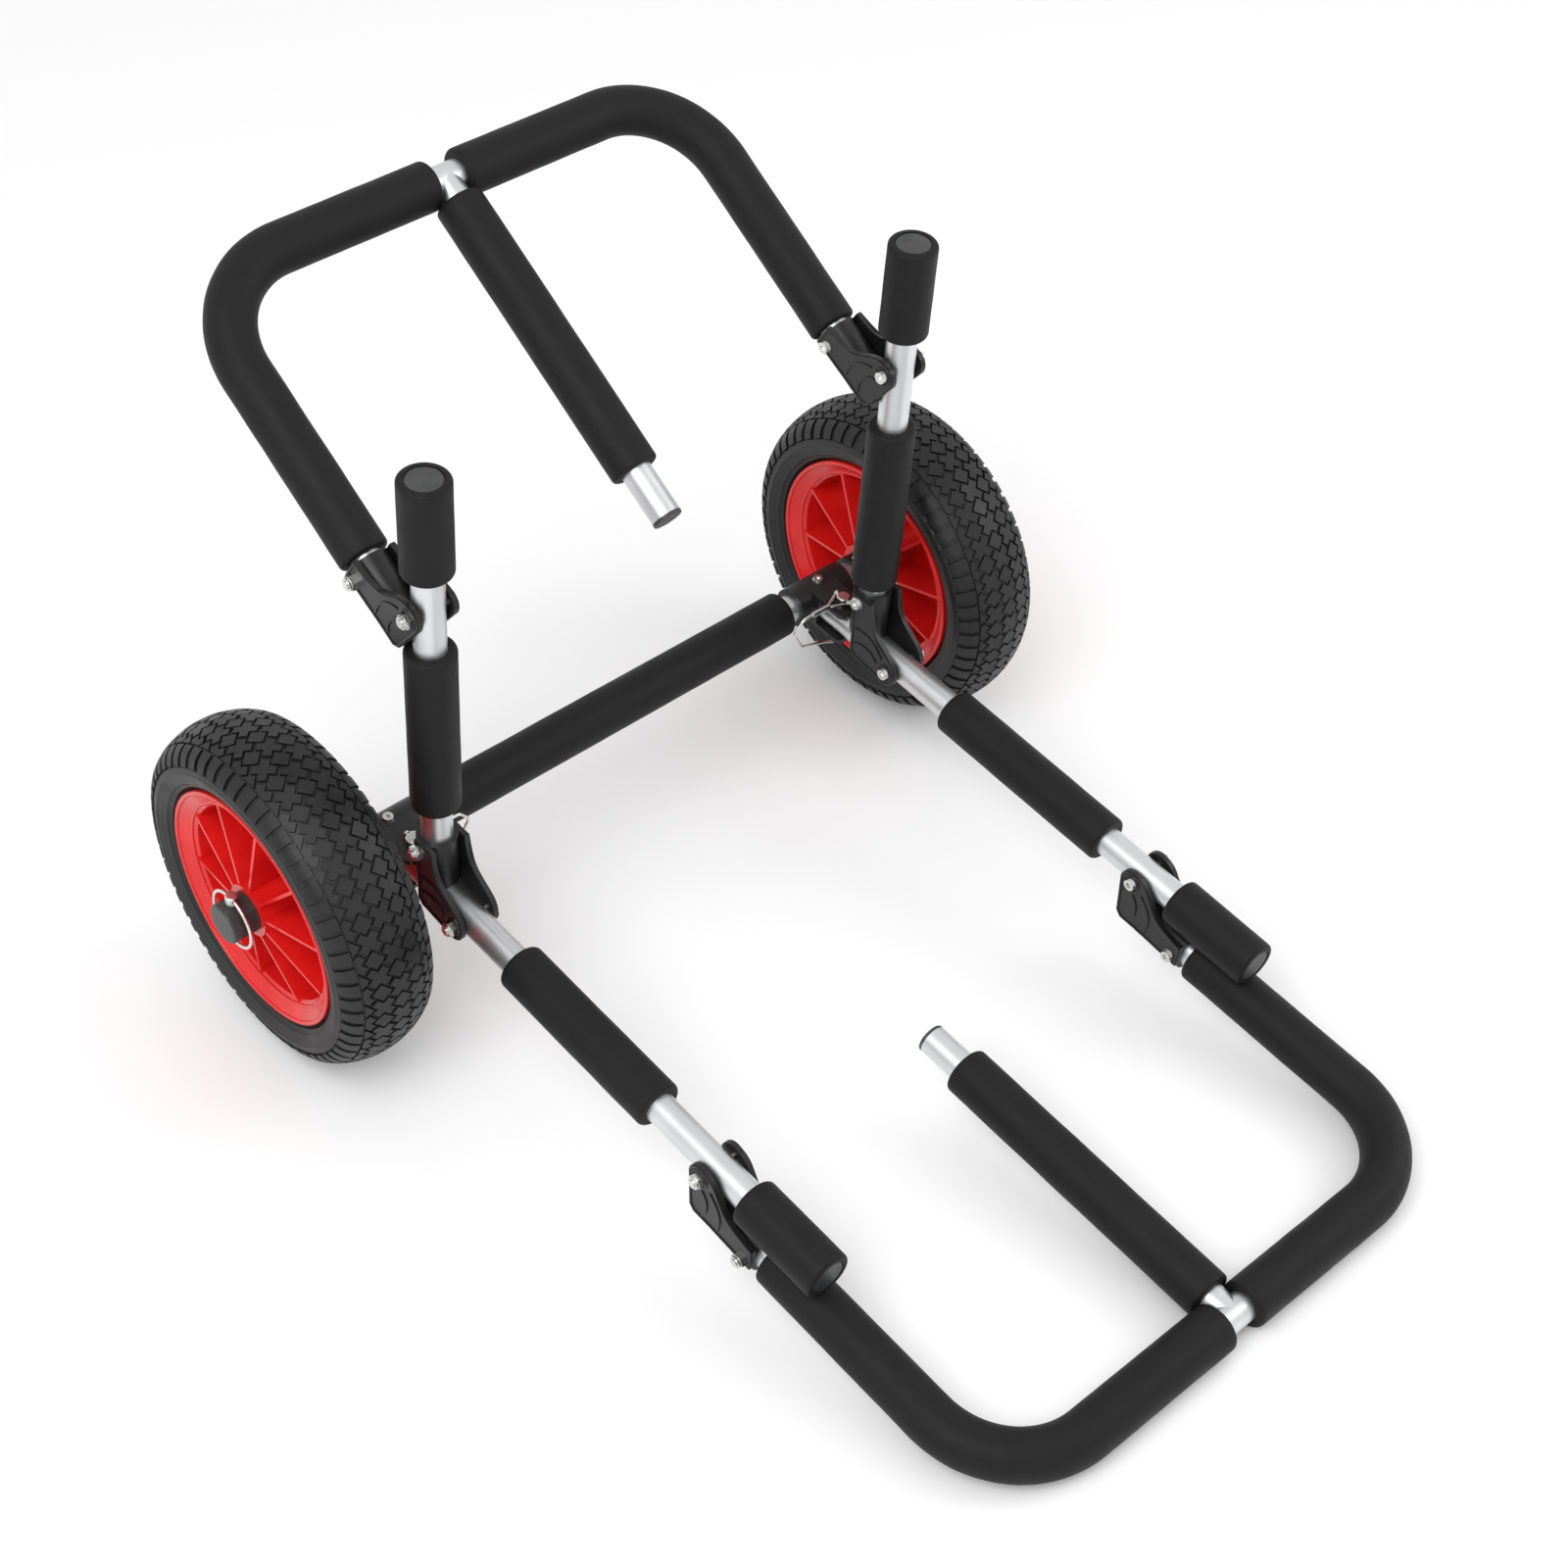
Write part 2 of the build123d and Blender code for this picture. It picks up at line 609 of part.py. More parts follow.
def lock_bail(side):
    """Wire bail: two eyes on the head's peg, a crimped ferrule and a spring loop to the tip."""
    flat = bail_plane(side)
    with BuildPart() as bail:
        with BuildLine(flat) as loop:
            FilletPolyline(*BAIL_ROUTE, radius=BAIL_BEND_R)
        with BuildSketch(Plane(origin=loop.line @ 0, z_dir=loop.line % 0)):
            Circle(BAIL_WIRE_R)
        sweep(path=loop.line)
        with BuildSketch(Plane(origin=flat.from_local_coords(Vector(BAIL_FERRULE[0], 0, 0)), z_dir=flat.x_dir)):
            Circle(BAIL_FERRULE_R)
        extrude(amount=BAIL_FERRULE[1] - BAIL_FERRULE[0] + BAIL_WIRE_R)
        for turn in (-1, 1):
            eye = bail_plane(side, turn * (BAIL_EYE_IN + BAIL_EYE_T / 2))
            with BuildSketch(eye):
                Circle(BAIL_EYE_R)
            extrude(amount=BAIL_EYE_T / 2, both=True)
            start = eye.from_local_coords(Vector(BAIL_EYE_R - 1, 0, 0))
            finish = flat.from_local_coords(Vector(BAIL_FERRULE[0] + 1, 0, 0))
            with BuildSketch(Plane(origin=start, z_dir=finish - start)):
                Circle(BAIL_WIRE_R)
            extrude(amount=(finish - start).length)
        with BuildSketch(flat):
            Circle(LOCK_PEG_R + BAIL_FIT)
        extrude(amount=LOCK_PEG_HALF + 2, both=True, mode=Mode.SUBTRACT)
    return bail


# ---- wheel pins -----------------------------------------------------------
def wheel_pin(side):
    """Pin through an end cap and the axle, its head bored for the ring."""
    x = side * WHEEL_PIN_X
    with BuildPart() as pin:
        with BuildSketch(axle_up_plane(x, WHEEL_PIN_TIP)):
            Circle(WHEEL_PIN_R)
        extrude(amount=WHEEL_PIN_TOP - WHEEL_PIN_TIP)
        with BuildSketch(axle_up_plane(x, WHEEL_PIN_TOP - WHEEL_PIN_HEAD_H)):
            Circle(WHEEL_PIN_HEAD_R)
        extrude(amount=WHEEL_PIN_HEAD_H)
        fillet(pin.edges().filter_by(GeomType.CIRCLE).group_by(SortBy.RADIUS)[-1], PIN_HEAD_ROUND)
        hole = Plane(origin=at(side_offset(0, RING_R), x), x_dir=ACROSS, z_dir=turned(0))
        with BuildSketch(hole):
            Circle(RING_HOLE_R)
        extrude(amount=WHEEL_PIN_HEAD_R + 1, both=True, mode=Mode.SUBTRACT)
    return pin


def wheel_ring(side):
    """Wire ring that hangs from the pin's head around the end cap."""
    centre = at(AXLE_CENTRE, side * WHEEL_PIN_X)
    with BuildPart() as ring:
        with BuildSketch(Plane(origin=centre, x_dir=turned(90), z_dir=turned(0))):
            with Locations((RING_R, 0)):
                Circle(RING_WIRE_R)
        revolve(axis=Axis(centre, ACROSS))
    return ring


# ---- wheels ---------------------------------------------------------------
def wheel_section(side):
    """Half section plane of a wheel: x along the axle, y outward from it."""
    return Plane(origin=at(AXLE_CENTRE, side * WHEEL_X), x_dir=ACROSS, z_dir=ACROSS.cross(turned(90)))


def wheel_rim(side):
    """Dished rim: barrel with two lips, a web, a hub and thin ribs on both faces."""
    section = wheel_section(side)
    half_web = RIM_WEB_T / 2
    with BuildPart() as rim:
        with BuildSketch(section):
            with BuildLine():
                Polyline((-half_web, HUB_R - 1), (-half_web, RIM_FLOOR_R), (-RIB_OUTER_X, RIM_THROAT_R),
                         (-RIM_HALF, RIM_LIP_R - 1.5), (-RIM_HALF, RIM_LIP_R), (-RIM_FLANGE_X, RIM_LIP_R),
                         (-RIM_SEAT_HALF, RIM_SEAT_R), (RIM_SEAT_HALF, RIM_SEAT_R),
                         (RIM_FLANGE_X, RIM_LIP_R), (RIM_HALF, RIM_LIP_R), (RIM_HALF, RIM_LIP_R - 1.5),
                         (RIB_OUTER_X, RIM_THROAT_R), (half_web, RIM_FLOOR_R), (half_web, HUB_R - 1), close=True)
            make_face()
            with Locations((0, (HUB_R + BUSH_R + SOCKET_FIT) / 2)):
                Rectangle(2 * HUB_HALF, HUB_R - BUSH_R - SOCKET_FIT)
        revolve(axis=Axis(section.origin, ACROSS))
        for index in range(RIB_COUNT):
            angle = RIB_PHASE + index * 360 / RIB_COUNT
            spoke = Plane(origin=section.origin, x_dir=ACROSS, z_dir=ACROSS.cross(turned(angle)))
            with BuildSketch(spoke):
                with BuildLine():
                    Polyline((-HUB_HALF + 1, HUB_R - 1), (HUB_HALF - 1, HUB_R - 1),
                             (RIB_OUTER_X + 2, RIM_THROAT_R + 2), (-RIB_OUTER_X - 2, RIM_THROAT_R + 2), close=True)
                make_face()
            extrude(amount=RIB_T / 2, both=True)
    return rim


def wheel_tyre(side):
    """Tyre casing seated on the rim, open to the inside, with a rounded tread."""
    section = wheel_section(side)
    shoulder_r = WHEEL_R - TYRE_SHOULDER_DROP
    belly_r = (shoulder_r + RIM_LIP_R) / 2
    with BuildPart() as tyre:
        with BuildSketch(section):
            with BuildLine():
                ThreePointArc((-TYRE_SHOULDER_X, shoulder_r), (0, WHEEL_R), (TYRE_SHOULDER_X, shoulder_r))
                ThreePointArc((TYRE_SHOULDER_X, shoulder_r), (TYRE_HALF, belly_r), (RIM_FLANGE_X, RIM_LIP_R + SEAT_GAP))
                Polyline((RIM_FLANGE_X, RIM_LIP_R + SEAT_GAP), (RIM_SEAT_HALF - SEAT_GAP, RIM_SEAT_R + SEAT_GAP),
                         (SEAT_GAP - RIM_SEAT_HALF, RIM_SEAT_R + SEAT_GAP), (-RIM_FLANGE_X, RIM_LIP_R + SEAT_GAP))
                ThreePointArc((-RIM_FLANGE_X, RIM_LIP_R + SEAT_GAP), (-TYRE_HALF, belly_r),
                              (-TYRE_SHOULDER_X, shoulder_r))
            make_face()
            with BuildLine():
                cavity_r = shoulder_r - TYRE_WALL
                ThreePointArc((-TYRE_CAVITY_HALF, cavity_r), (0, WHEEL_R - TYRE_WALL - 3), (TYRE_CAVITY_HALF, cavity_r))
                Polyline((TYRE_CAVITY_HALF, cavity_r), (RIM_SEAT_HALF - TYRE_WALL, RIM_SEAT_R - 1),
                         (TYRE_WALL - RIM_SEAT_HALF, RIM_SEAT_R - 1), (-TYRE_CAVITY_HALF, cavity_r))
            make_face(mode=Mode.SUBTRACT)
        revolve(axis=Axis(section.origin, ACROSS))
    return tyre


def hub_bushes(side):
    """Two plain bushes pressed into the hub, which turn on the axle."""
    with BuildPart() as bushes:
        for end in (-1, 1):
            with BuildSketch(axle_plane(side * WHEEL_X + end * HUB_HALF)):
                Circle(BUSH_R)
                Circle(TUBE_R + BUSH_FIT, mode=Mode.SUBTRACT)
            extrude(amount=-end * BUSH_LENGTH)
    return bushes


# ---- build ----------------------------------------------------------------
def build_root():
    """Axle, clamps, arms and what is fixed on them."""
    write(axle_tube().part, "axle_tube")
    write(straight_foam(axle_plane(-AXLE_FOAM_HALF), 2 * AXLE_FOAM_HALF).part, "axle_foam")
    write(axle_collars().part, "axle_collars")
    write(axle_end_caps().part, "axle_end_caps")
    write(axle_screws().part, "axle_screws")
    for name, side in SIDES.items():
        x = side * RAIL_X
        write(axle_clamp(side).part, f"axle_clamp_{name}")
        write(arm_tube(side).part, f"arm_tube_{name}")
        start, end = ARM_FOAM[name]
        write(straight_foam(tube_plane(AXLE_CENTRE, 0, start, x), end - start).part, f"arm_foam_{name}")
        start, end = ARM_END_FOAM[name]
        pocket = end - ARM_END + PLUG_POCKET_GAP
        foam = straight_foam(tube_plane(AXLE_CENTRE, 0, start, x), end - start, pocket)
        write(foam.part, f"arm_end_foam_{name}")
    write(end_plugs(AXLE_CENTRE, 0, ARM_END).part, "arm_end_plugs")


def end_plugs(base, angle, distance):
    """The two plugs in the ends of a pair of side tubes."""
    with BuildPart() as plugs:
        for side in SIDES.values():
            add(tube_plug(tube_plane(base, angle, distance, side * RAIL_X), PLUG_HEAD_R).part)
    return plugs


def build_uprights():
    """The two uprights with their foam, foot brackets and fasteners."""
    holes = {FIXING_S: BOLT_R + BOLT_FIT, TOP_PIVOT_H: BOLT_R + PIVOT_FIT}
    for name, side in SIDES.items():
        x = side * RAIL_X
        tube = straight_tube(UPRIGHT_BASE, UPRIGHT_ANGLE, SOCKET_FLOOR + SOCKET_FLOOR_T, UPRIGHT_END, x, holes)
        write(tube.part, f"upright_tube_{name}")
        start, end = LEG_FOAM[name]
        write(straight_foam(tube_plane(UPRIGHT_BASE, UPRIGHT_ANGLE, start, x), end - start).part, f"leg_foam_{name}")
        start, end = GRIP_FOAM
        pocket = end - UPRIGHT_END + PLUG_POCKET_GAP
        grip = straight_foam(tube_plane(UPRIGHT_BASE, UPRIGHT_ANGLE, start, x), end - start, pocket)
        write(grip.part, f"grip_foam_{name}")
        plane = bracket_plane(FOOT_AXIS, UPRIGHT_ANGLE, 1, x)
        write(hinge_bracket(plane, UPRIGHT_ANGLE, heel=False).part, f"foot_bracket_{name}")
    write(end_plugs(UPRIGHT_BASE, UPRIGHT_ANGLE, UPRIGHT_END).part, "grip_plugs")
    planes = bolt_planes(FOOT_AXIS, UPRIGHT_ANGLE, 1)
    write(button_bolts(planes).part, "foot_bolts")
    write(lock_nuts(planes).part, "foot_nuts")


def build_bow(prefix, axis, base, angle, turn, reach, tip, foam_start):
    """One bow with its stem, foam, end plug, brackets and fasteners."""
    write(bow_tube(base, angle, reach).part, f"{prefix}_bow_tube")
    write(stem_tube(base, angle, reach, tip).part, f"{prefix}_stem_tube")
    stem_foam_end = reach - FOAM_R
    foam = straight_foam(tube_plane(base, angle, STEM_FOAM_START, 0), stem_foam_end - STEM_FOAM_START)
    write(foam.part, f"{prefix}_stem_foam")
    plug_plane = Plane(origin=at(base + turned(angle) * tip), x_dir=ACROSS, z_dir=turned(angle) * -1)
    write(tube_plug(plug_plane, TUBE_R).part, f"{prefix}_stem_plug")
    for name, side in SIDES.items():
        write(bow_foam(base, angle, reach, foam_start, side).part, f"{prefix}_bow_foam_{name}")
        plane = bracket_plane(axis, angle, turn, side * RAIL_X)
        write(hinge_bracket(plane, HEEL_ANGLE, heel=True).part, f"{prefix}_bracket_{name}")
    planes = bolt_planes(axis, angle, turn)
    write(button_bolts(planes).part, f"{prefix}_bolts")
    write(lock_nuts(planes).part, f"{prefix}_nuts")


def build_wheels_and_pins():
    """Wheels, lock pins with their bails and wheel pins with their rings."""
    for name, side in SIDES.items():
        write(wheel_rim(side).part, f"wheel_rim_{name}")
        write(wheel_tyre(side).part, f"wheel_tyre_{name}")
        write(hub_bushes(side).part, f"hub_bushes_{name}")
        write(lock_pin(side).part, f"lock_pin_{name}")
        write(lock_bail(side).part, f"lock_bail_{name}")
        write(wheel_pin(side).part, f"wheel_pin_{name}")
        write(wheel_ring(side).part, f"wheel_ring_{name}")


build_root()
build_uprights()
build_bow("rear", TOP_AXIS, REAR_BASE, REAR_ANGLE, 1, REAR_REACH, REAR_STEM_TIP, REAR_BOW_FOAM_START)
build_bow("front", FRONT_AXIS, FRONT_BASE, 0, -1, FRONT_REACH, FRONT_STEM_TIP, FRONT_BOW_FOAM_START)
build_wheels_and_pins()
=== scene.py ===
"""A folding beach cart in a studio: foam-padded aluminium tubes, hinge brackets, two red wheels.

Lengths are in metres in the cart's own frame: X runs along the axle, Y forward, Z up.  Points of
the side plane are given by an angle, with 0 forward along the arms and 90 square above them.
"""

import json
import logging
import math
from dataclasses import dataclass
from enum import Enum
from typing import Callable, Iterable, Optional, Sequence

import bmesh
import bpy
from mathutils import Euler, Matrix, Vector, noise


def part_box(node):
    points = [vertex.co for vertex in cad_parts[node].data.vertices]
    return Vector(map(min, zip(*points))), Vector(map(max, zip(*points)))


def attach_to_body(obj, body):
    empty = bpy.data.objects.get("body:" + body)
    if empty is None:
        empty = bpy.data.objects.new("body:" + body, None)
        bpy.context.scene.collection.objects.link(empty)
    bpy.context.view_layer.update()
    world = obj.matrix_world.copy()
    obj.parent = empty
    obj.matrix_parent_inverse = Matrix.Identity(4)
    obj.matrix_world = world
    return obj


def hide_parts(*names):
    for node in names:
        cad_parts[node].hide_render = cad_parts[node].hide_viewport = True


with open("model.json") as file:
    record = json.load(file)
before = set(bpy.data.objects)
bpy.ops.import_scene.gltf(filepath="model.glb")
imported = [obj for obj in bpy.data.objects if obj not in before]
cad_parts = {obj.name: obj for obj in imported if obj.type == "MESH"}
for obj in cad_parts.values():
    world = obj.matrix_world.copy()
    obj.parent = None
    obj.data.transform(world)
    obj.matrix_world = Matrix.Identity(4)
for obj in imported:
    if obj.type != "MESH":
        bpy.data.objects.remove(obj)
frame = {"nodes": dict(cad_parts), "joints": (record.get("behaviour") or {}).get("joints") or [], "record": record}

LOG = logging.getLogger("beach_cart")
ACROSS = Vector((1.0, 0.0, 0.0))
FULL_TURN = 2 * math.pi
WAVER_PER_METRE = 45.0
MOTTLES = (0.35, 0.7)
ROUGHENING = (0.3, 0.7)
UPWARD = (0.1, 1.0)
DUST_PATCHES = (0.38, 0.72)
STREAKS = (0.5, 0.75)
DUST_COLOR = (0.30, 0.29, 0.27)
BUMP_STRENGTH = 0.6
COAT_ROUGHNESS = 0.12

Spot = tuple[float, float]
Piece = bpy.types.Object
Socket = bpy.types.NodeSocket


class Side(Enum):
    """The two sides of the cart, valued by the sign of their X."""

    LEFT = 1
    RIGHT = -1

    @property
    def word(self) -> str:
        """The side's name as the frame's nodes spell it."""
        return self.name.lower()


# ---- the frame's lines
@dataclass
class CartFrame:
    """Hinge points and directions of the cart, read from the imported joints.

    Attributes:
        offset: Distance from a hinge's pivot to the axis of the tube in its socket.
        rail_x: Distance of the arms and uprights from the middle plane.
    """

    offset: float = 0.036
    rail_x: float = 0.204

    def __post_init__(self) -> None:
        """Reads the joints and works out the directions from them."""
        joints = {joint["name"]: joint for joint in frame["joints"]}
        self.foot = Vector(joints["uprights_fold"]["pos_m"])
        self.top = Vector(joints["rear_frame_fold"]["pos_m"])
        self.front = Vector(joints["front_frame_fold"]["pos_m"])
        wheel = joints["left_wheel_spin"]["pos_m"]
        self.axle = Vector((0.0, wheel[1], wheel[2]))
        self.wheel_x = wheel[0]
        self.forward = (self.front - self.foot).normalized()
        self.upright_angle = joints["uprights_fold"]["range_deg"][1]
        self.heel_angle = joints["rear_frame_fold"]["range_deg"][1]
        self.rear_angle = self.upright_angle + self.heel_angle

    def turned(self, angle: float) -> Vector:
        """Unit direction in the side plane at an angle in degrees."""
        turn = math.radians(angle)
        return self.forward * math.cos(turn) + ACROSS.cross(self.forward) * math.sin(turn)

    def upright_base(self) -> Vector:
        """Point of the uprights' axis that lies level with the foot pivots."""
        return self.foot + self.turned(self.upright_angle + 90) * self.offset

    def rear_base(self) -> Vector:
        """Point of the rear bow's axis that lies level with the top pivots."""
        return self.top + self.turned(self.rear_angle + 90) * self.offset

    def front_base(self) -> Vector:
        """Point of the front bow's axis that lies level with the front pivots."""
        return self.front + self.turned(-90) * self.offset


# ---- shader groups and finishes
class NodeTree:
    """Thin helper that adds and links nodes of one node tree."""

    def __init__(self, tree: bpy.types.NodeTree) -> None:
        """Keeps the tree and clears it."""
        self.tree = tree
        self.tree.nodes.clear()

    def add(self, kind: str, links: Optional[dict] = None, **settings: object) -> bpy.types.Node:
        """Adds a node.

        Args:
            kind: The node's type name.
            links: Input name or index to a value or to an output socket.
            **settings: Attributes set on the node before its inputs.

        Returns:
            The new node.
        """
        node = self.tree.nodes.new(kind)
        for key, value in settings.items():
            setattr(node, key, value)
        for key, value in (links or {}).items():
            if isinstance(value, Socket):
                self.tree.links.new(value, node.inputs[key])
            else:
                node.inputs[key].default_value = value
        return node

    def math(self, operation: str, first: object, second: object = 0.0) -> Socket:
        """Adds a math node and returns its result."""
        return self.add("ShaderNodeMath", {0: first, 1: second}, operation=operation).outputs[0]

    def link(self, source: Socket, target: Socket) -> None:
        """Links an output to an input."""
        self.tree.links.new(source, target)

    def spread(self, value: Socket, limits: Spot, result: Spot = (0.0, 1.0)) -> Socket:
        """Maps one range of a value to another and holds it there."""
        return self.add("ShaderNodeMapRange", {"Value": value, "From Min": limits[0], "From Max": limits[1],
                                               "To Min": result[0], "To Max": result[1]}).outputs[0]


def open_group(name: str, inputs: Sequence[tuple[str, str, object]],
               outputs: Sequence[tuple[str, str]]) -> tuple[NodeTree, bpy.types.Node, bpy.types.Node]:
    """Starts a shader group with named sockets.

    Args:
        name: The group's name.
        inputs: Name, kind of socket and default of each input.
        outputs: Name and kind of socket of each output.

    Returns:
        The helper on the group's tree, its input node and its output node.
    """
    tree = bpy.data.node_groups.new(name, "ShaderNodeTree")
    for label, kind, value in inputs:
        socket = tree.interface.new_socket(label, in_out="INPUT", socket_type="NodeSocket" + kind)
        if value is not None:
            socket.default_value = value
    for label, kind in outputs:
        tree.interface.new_socket(label, in_out="OUTPUT", socket_type="NodeSocket" + kind)
    nodes = NodeTree(tree)
    return nodes, nodes.add("NodeGroupInput"), nodes.add("NodeGroupOutput")


class SurfaceEffects:
    """The shader groups that several finishes share."""

    def __init__(self) -> None:
        """Builds every group once."""
        self.grain = self._grain()
        self.dust = self._dust()
        self.scuffs = self._scuffs()

    @staticmethod
    def _grain() -> bpy.types.NodeTree:
        """Fine moulded or cellular grain: a height and a shade that varies with it.

        Returns:
            The group's tree.
        """
        nodes, given, result = open_group(
            "surface_grain",
            (("Vector", "Vector", None), ("Cells per metre", "Float", 1500.0),
             ("Mottle per metre", "Float", 40.0)),
            (("Height", "Float"), ("Shade", "Float")))
        fine = nodes.add("ShaderNodeTexNoise", {"Vector": given.outputs[0], "Scale": given.outputs[1],
                                                "Detail": 3.0, "Roughness": 0.6})
        cells = nodes.add("ShaderNodeTexVoronoi", {"Vector": given.outputs[0], "Scale": given.outputs[1]})
        mottle = nodes.add("ShaderNodeTexNoise", {"Vector": given.outputs[0], "Scale": given.outputs[2],
                                                  "Detail": 4.0, "Roughness": 0.55})
        height = nodes.math("MULTIPLY_ADD", cells.outputs["Distance"], 0.6)
        nodes.link(fine.outputs[0], height.node.inputs[2])
        nodes.link(height, result.inputs["Height"])
        nodes.link(mottle.outputs[0], result.inputs["Shade"])
        return nodes.tree

    @staticmethod
    def _dust() -> bpy.types.NodeTree:
        """Dust that settles on faces that look up, broken by noise: a mask.

        Returns:
            The group's tree.
        """
        nodes, given, result = open_group(
            "settled_dust",
            (("Vector", "Vector", None), ("Amount", "Float", 0.2),
             ("Patches per metre", "Float", 60.0)),
            (("Mask", "Float"),))
        normal = nodes.add("ShaderNodeNewGeometry")
        parts = nodes.add("ShaderNodeSeparateXYZ", {0: normal.outputs["Normal"]})
        up = nodes.spread(parts.outputs["Z"], UPWARD)
        patch = nodes.add("ShaderNodeTexNoise", {"Vector": given.outputs[0], "Scale": given.outputs[2],
                                                 "Detail": 5.0, "Roughness": 0.65})
        broken = nodes.spread(patch.outputs[0], DUST_PATCHES)
        mask = nodes.math("MULTIPLY", nodes.math("MULTIPLY", up, broken), given.outputs[1])
        nodes.link(mask, result.inputs["Mask"])
        return nodes.tree

    @staticmethod
    def _scuffs() -> bpy.types.NodeTree:
        """Thin rubbed marks that run along one direction: a mask and a height.

        Returns:
            The group's tree.
        """
        nodes, given, result = open_group(
            "rubbed_marks",
            (("Vector", "Vector", None), ("Along", "Vector", (0.0, 1.0, 0.0)),
             ("Marks per metre", "Float", 900.0)),
            (("Mask", "Float"), ("Height", "Float")))
        dot = nodes.add("ShaderNodeVectorMath", {0: given.outputs[0], 1: given.outputs[1]},
                        operation="DOT_PRODUCT")
        back = nodes.add("ShaderNodeVectorMath", {0: given.outputs[1], "Scale": nodes.math(
            "MULTIPLY", dot.outputs["Value"], -0.985)}, operation="SCALE")
        squeezed = nodes.add("ShaderNodeVectorMath", {0: given.outputs[0], 1: back.outputs[0]},
                             operation="ADD")
        streaks = nodes.add("ShaderNodeTexNoise", {"Vector": squeezed.outputs[0], "Scale": given.outputs[2],
                                                   "Detail": 2.0, "Roughness": 0.7})
        thin = nodes.spread(streaks.outputs[0], STREAKS)
        nodes.link(thin, result.inputs["Mask"])
        nodes.link(streaks.outputs[0], result.inputs["Height"])
        return nodes.tree


@dataclass(frozen=True)
class Finish:
    """One surface finish of the cart.

    Attributes:
        name: The material's name.
        color: Base colour, linear.
        worn_color: Colour of the lighter mottles.
        roughness: Lowest and highest roughness.
        metallic: 1 for bare metal.
        grain: Grain cells per metre.
        bump: Depth of the grain in metres.
        dust: Share of dust on faces that look up.
        sheen: Constant sheen weight.
        coat: Constant clear-coat weight.
        along: Direction that fine marks run in, or None for none.
        specular: Constant specular level.
    """

    name: str
    color: tuple[float, float, float]
    worn_color: tuple[float, float, float]
    roughness: Spot
    metallic: float = 0.0
    grain: float = 1500.0
    bump: float = 0.00005
    dust: float = 0.1
    sheen: float = 0.0
    coat: float = 0.0
    along: Optional[tuple[float, float, float]] = None
    specular: float = 0.5

    def material(self, effects: SurfaceEffects) -> bpy.types.Material:
        """Builds the finish's material.

        Args:
            effects: The shared shader groups.

        Returns:
            The new material.
        """
        made = bpy.data.materials.new(self.name)
        made.use_nodes = True
        nodes = NodeTree(made.node_tree)
        place = nodes.add("ShaderNodeTexCoord").outputs["Object"]
        grain = nodes.add("ShaderNodeGroup", node_tree=effects.grain)
        nodes.link(place, grain.inputs["Vector"])
        grain.inputs["Cells per metre"].default_value = self.grain
        shade = nodes.spread(grain.outputs["Shade"], MOTTLES)
        tint = self._mix(nodes, shade, self.color, self.worn_color)
        height = grain.outputs["Height"]
        rough_from = grain.outputs["Shade"]
        if self.along:
            marks = nodes.add("ShaderNodeGroup", node_tree=effects.scuffs)
            nodes.link(place, marks.inputs["Vector"])
            marks.inputs["Along"].default_value = self.along
            height = marks.outputs["Height"]
            rough_from = marks.outputs["Height"]
        dust = nodes.add("ShaderNodeGroup", node_tree=effects.dust)
        nodes.link(place, dust.inputs["Vector"])
        dust.inputs["Amount"].default_value = self.dust
        dusty = self._mix(nodes, dust.outputs["Mask"], tint, DUST_COLOR)
        rough = nodes.spread(rough_from, ROUGHENING, self.roughness)
        bump = nodes.add("ShaderNodeBump", {"Height": height, "Distance": self.bump,
                                            "Strength": BUMP_STRENGTH})
        shader = nodes.add("ShaderNodeBsdfPrincipled", {
            "Base Color": dusty, "Roughness": rough, "Metallic": self.metallic,
            "Normal": bump.outputs[0], "Sheen Weight": self.sheen, "Coat Weight": self.coat})
        shader.inputs["Coat Roughness"].default_value = COAT_ROUGHNESS
        shader.inputs["Specular IOR Level"].default_value = self.specular
        nodes.add("ShaderNodeOutputMaterial", {"Surface": shader.outputs[0]})
        return made

    @staticmethod
    def _mix(nodes: NodeTree, factor: Socket, first: object, second: object) -> Socket:
        """Mixes two colours and returns the result's socket.

        Args:
            nodes: Helper on the material's tree.
            factor: Socket that blends from the first to the second.
            first: A colour or a colour socket.
            second: A colour or a colour socket.

        Returns:
            The mixed colour's socket.
        """
        node = nodes.add("ShaderNodeMix", data_type="RGBA")
        nodes.link(factor, node.inputs[0])
        for socket, value in ((node.inputs[6], first), (node.inputs[7], second)):
            if isinstance(value, Socket):
                nodes.link(value, socket)
            else:
                socket.default_value = (*value, 1.0)
        return node.outputs[2]


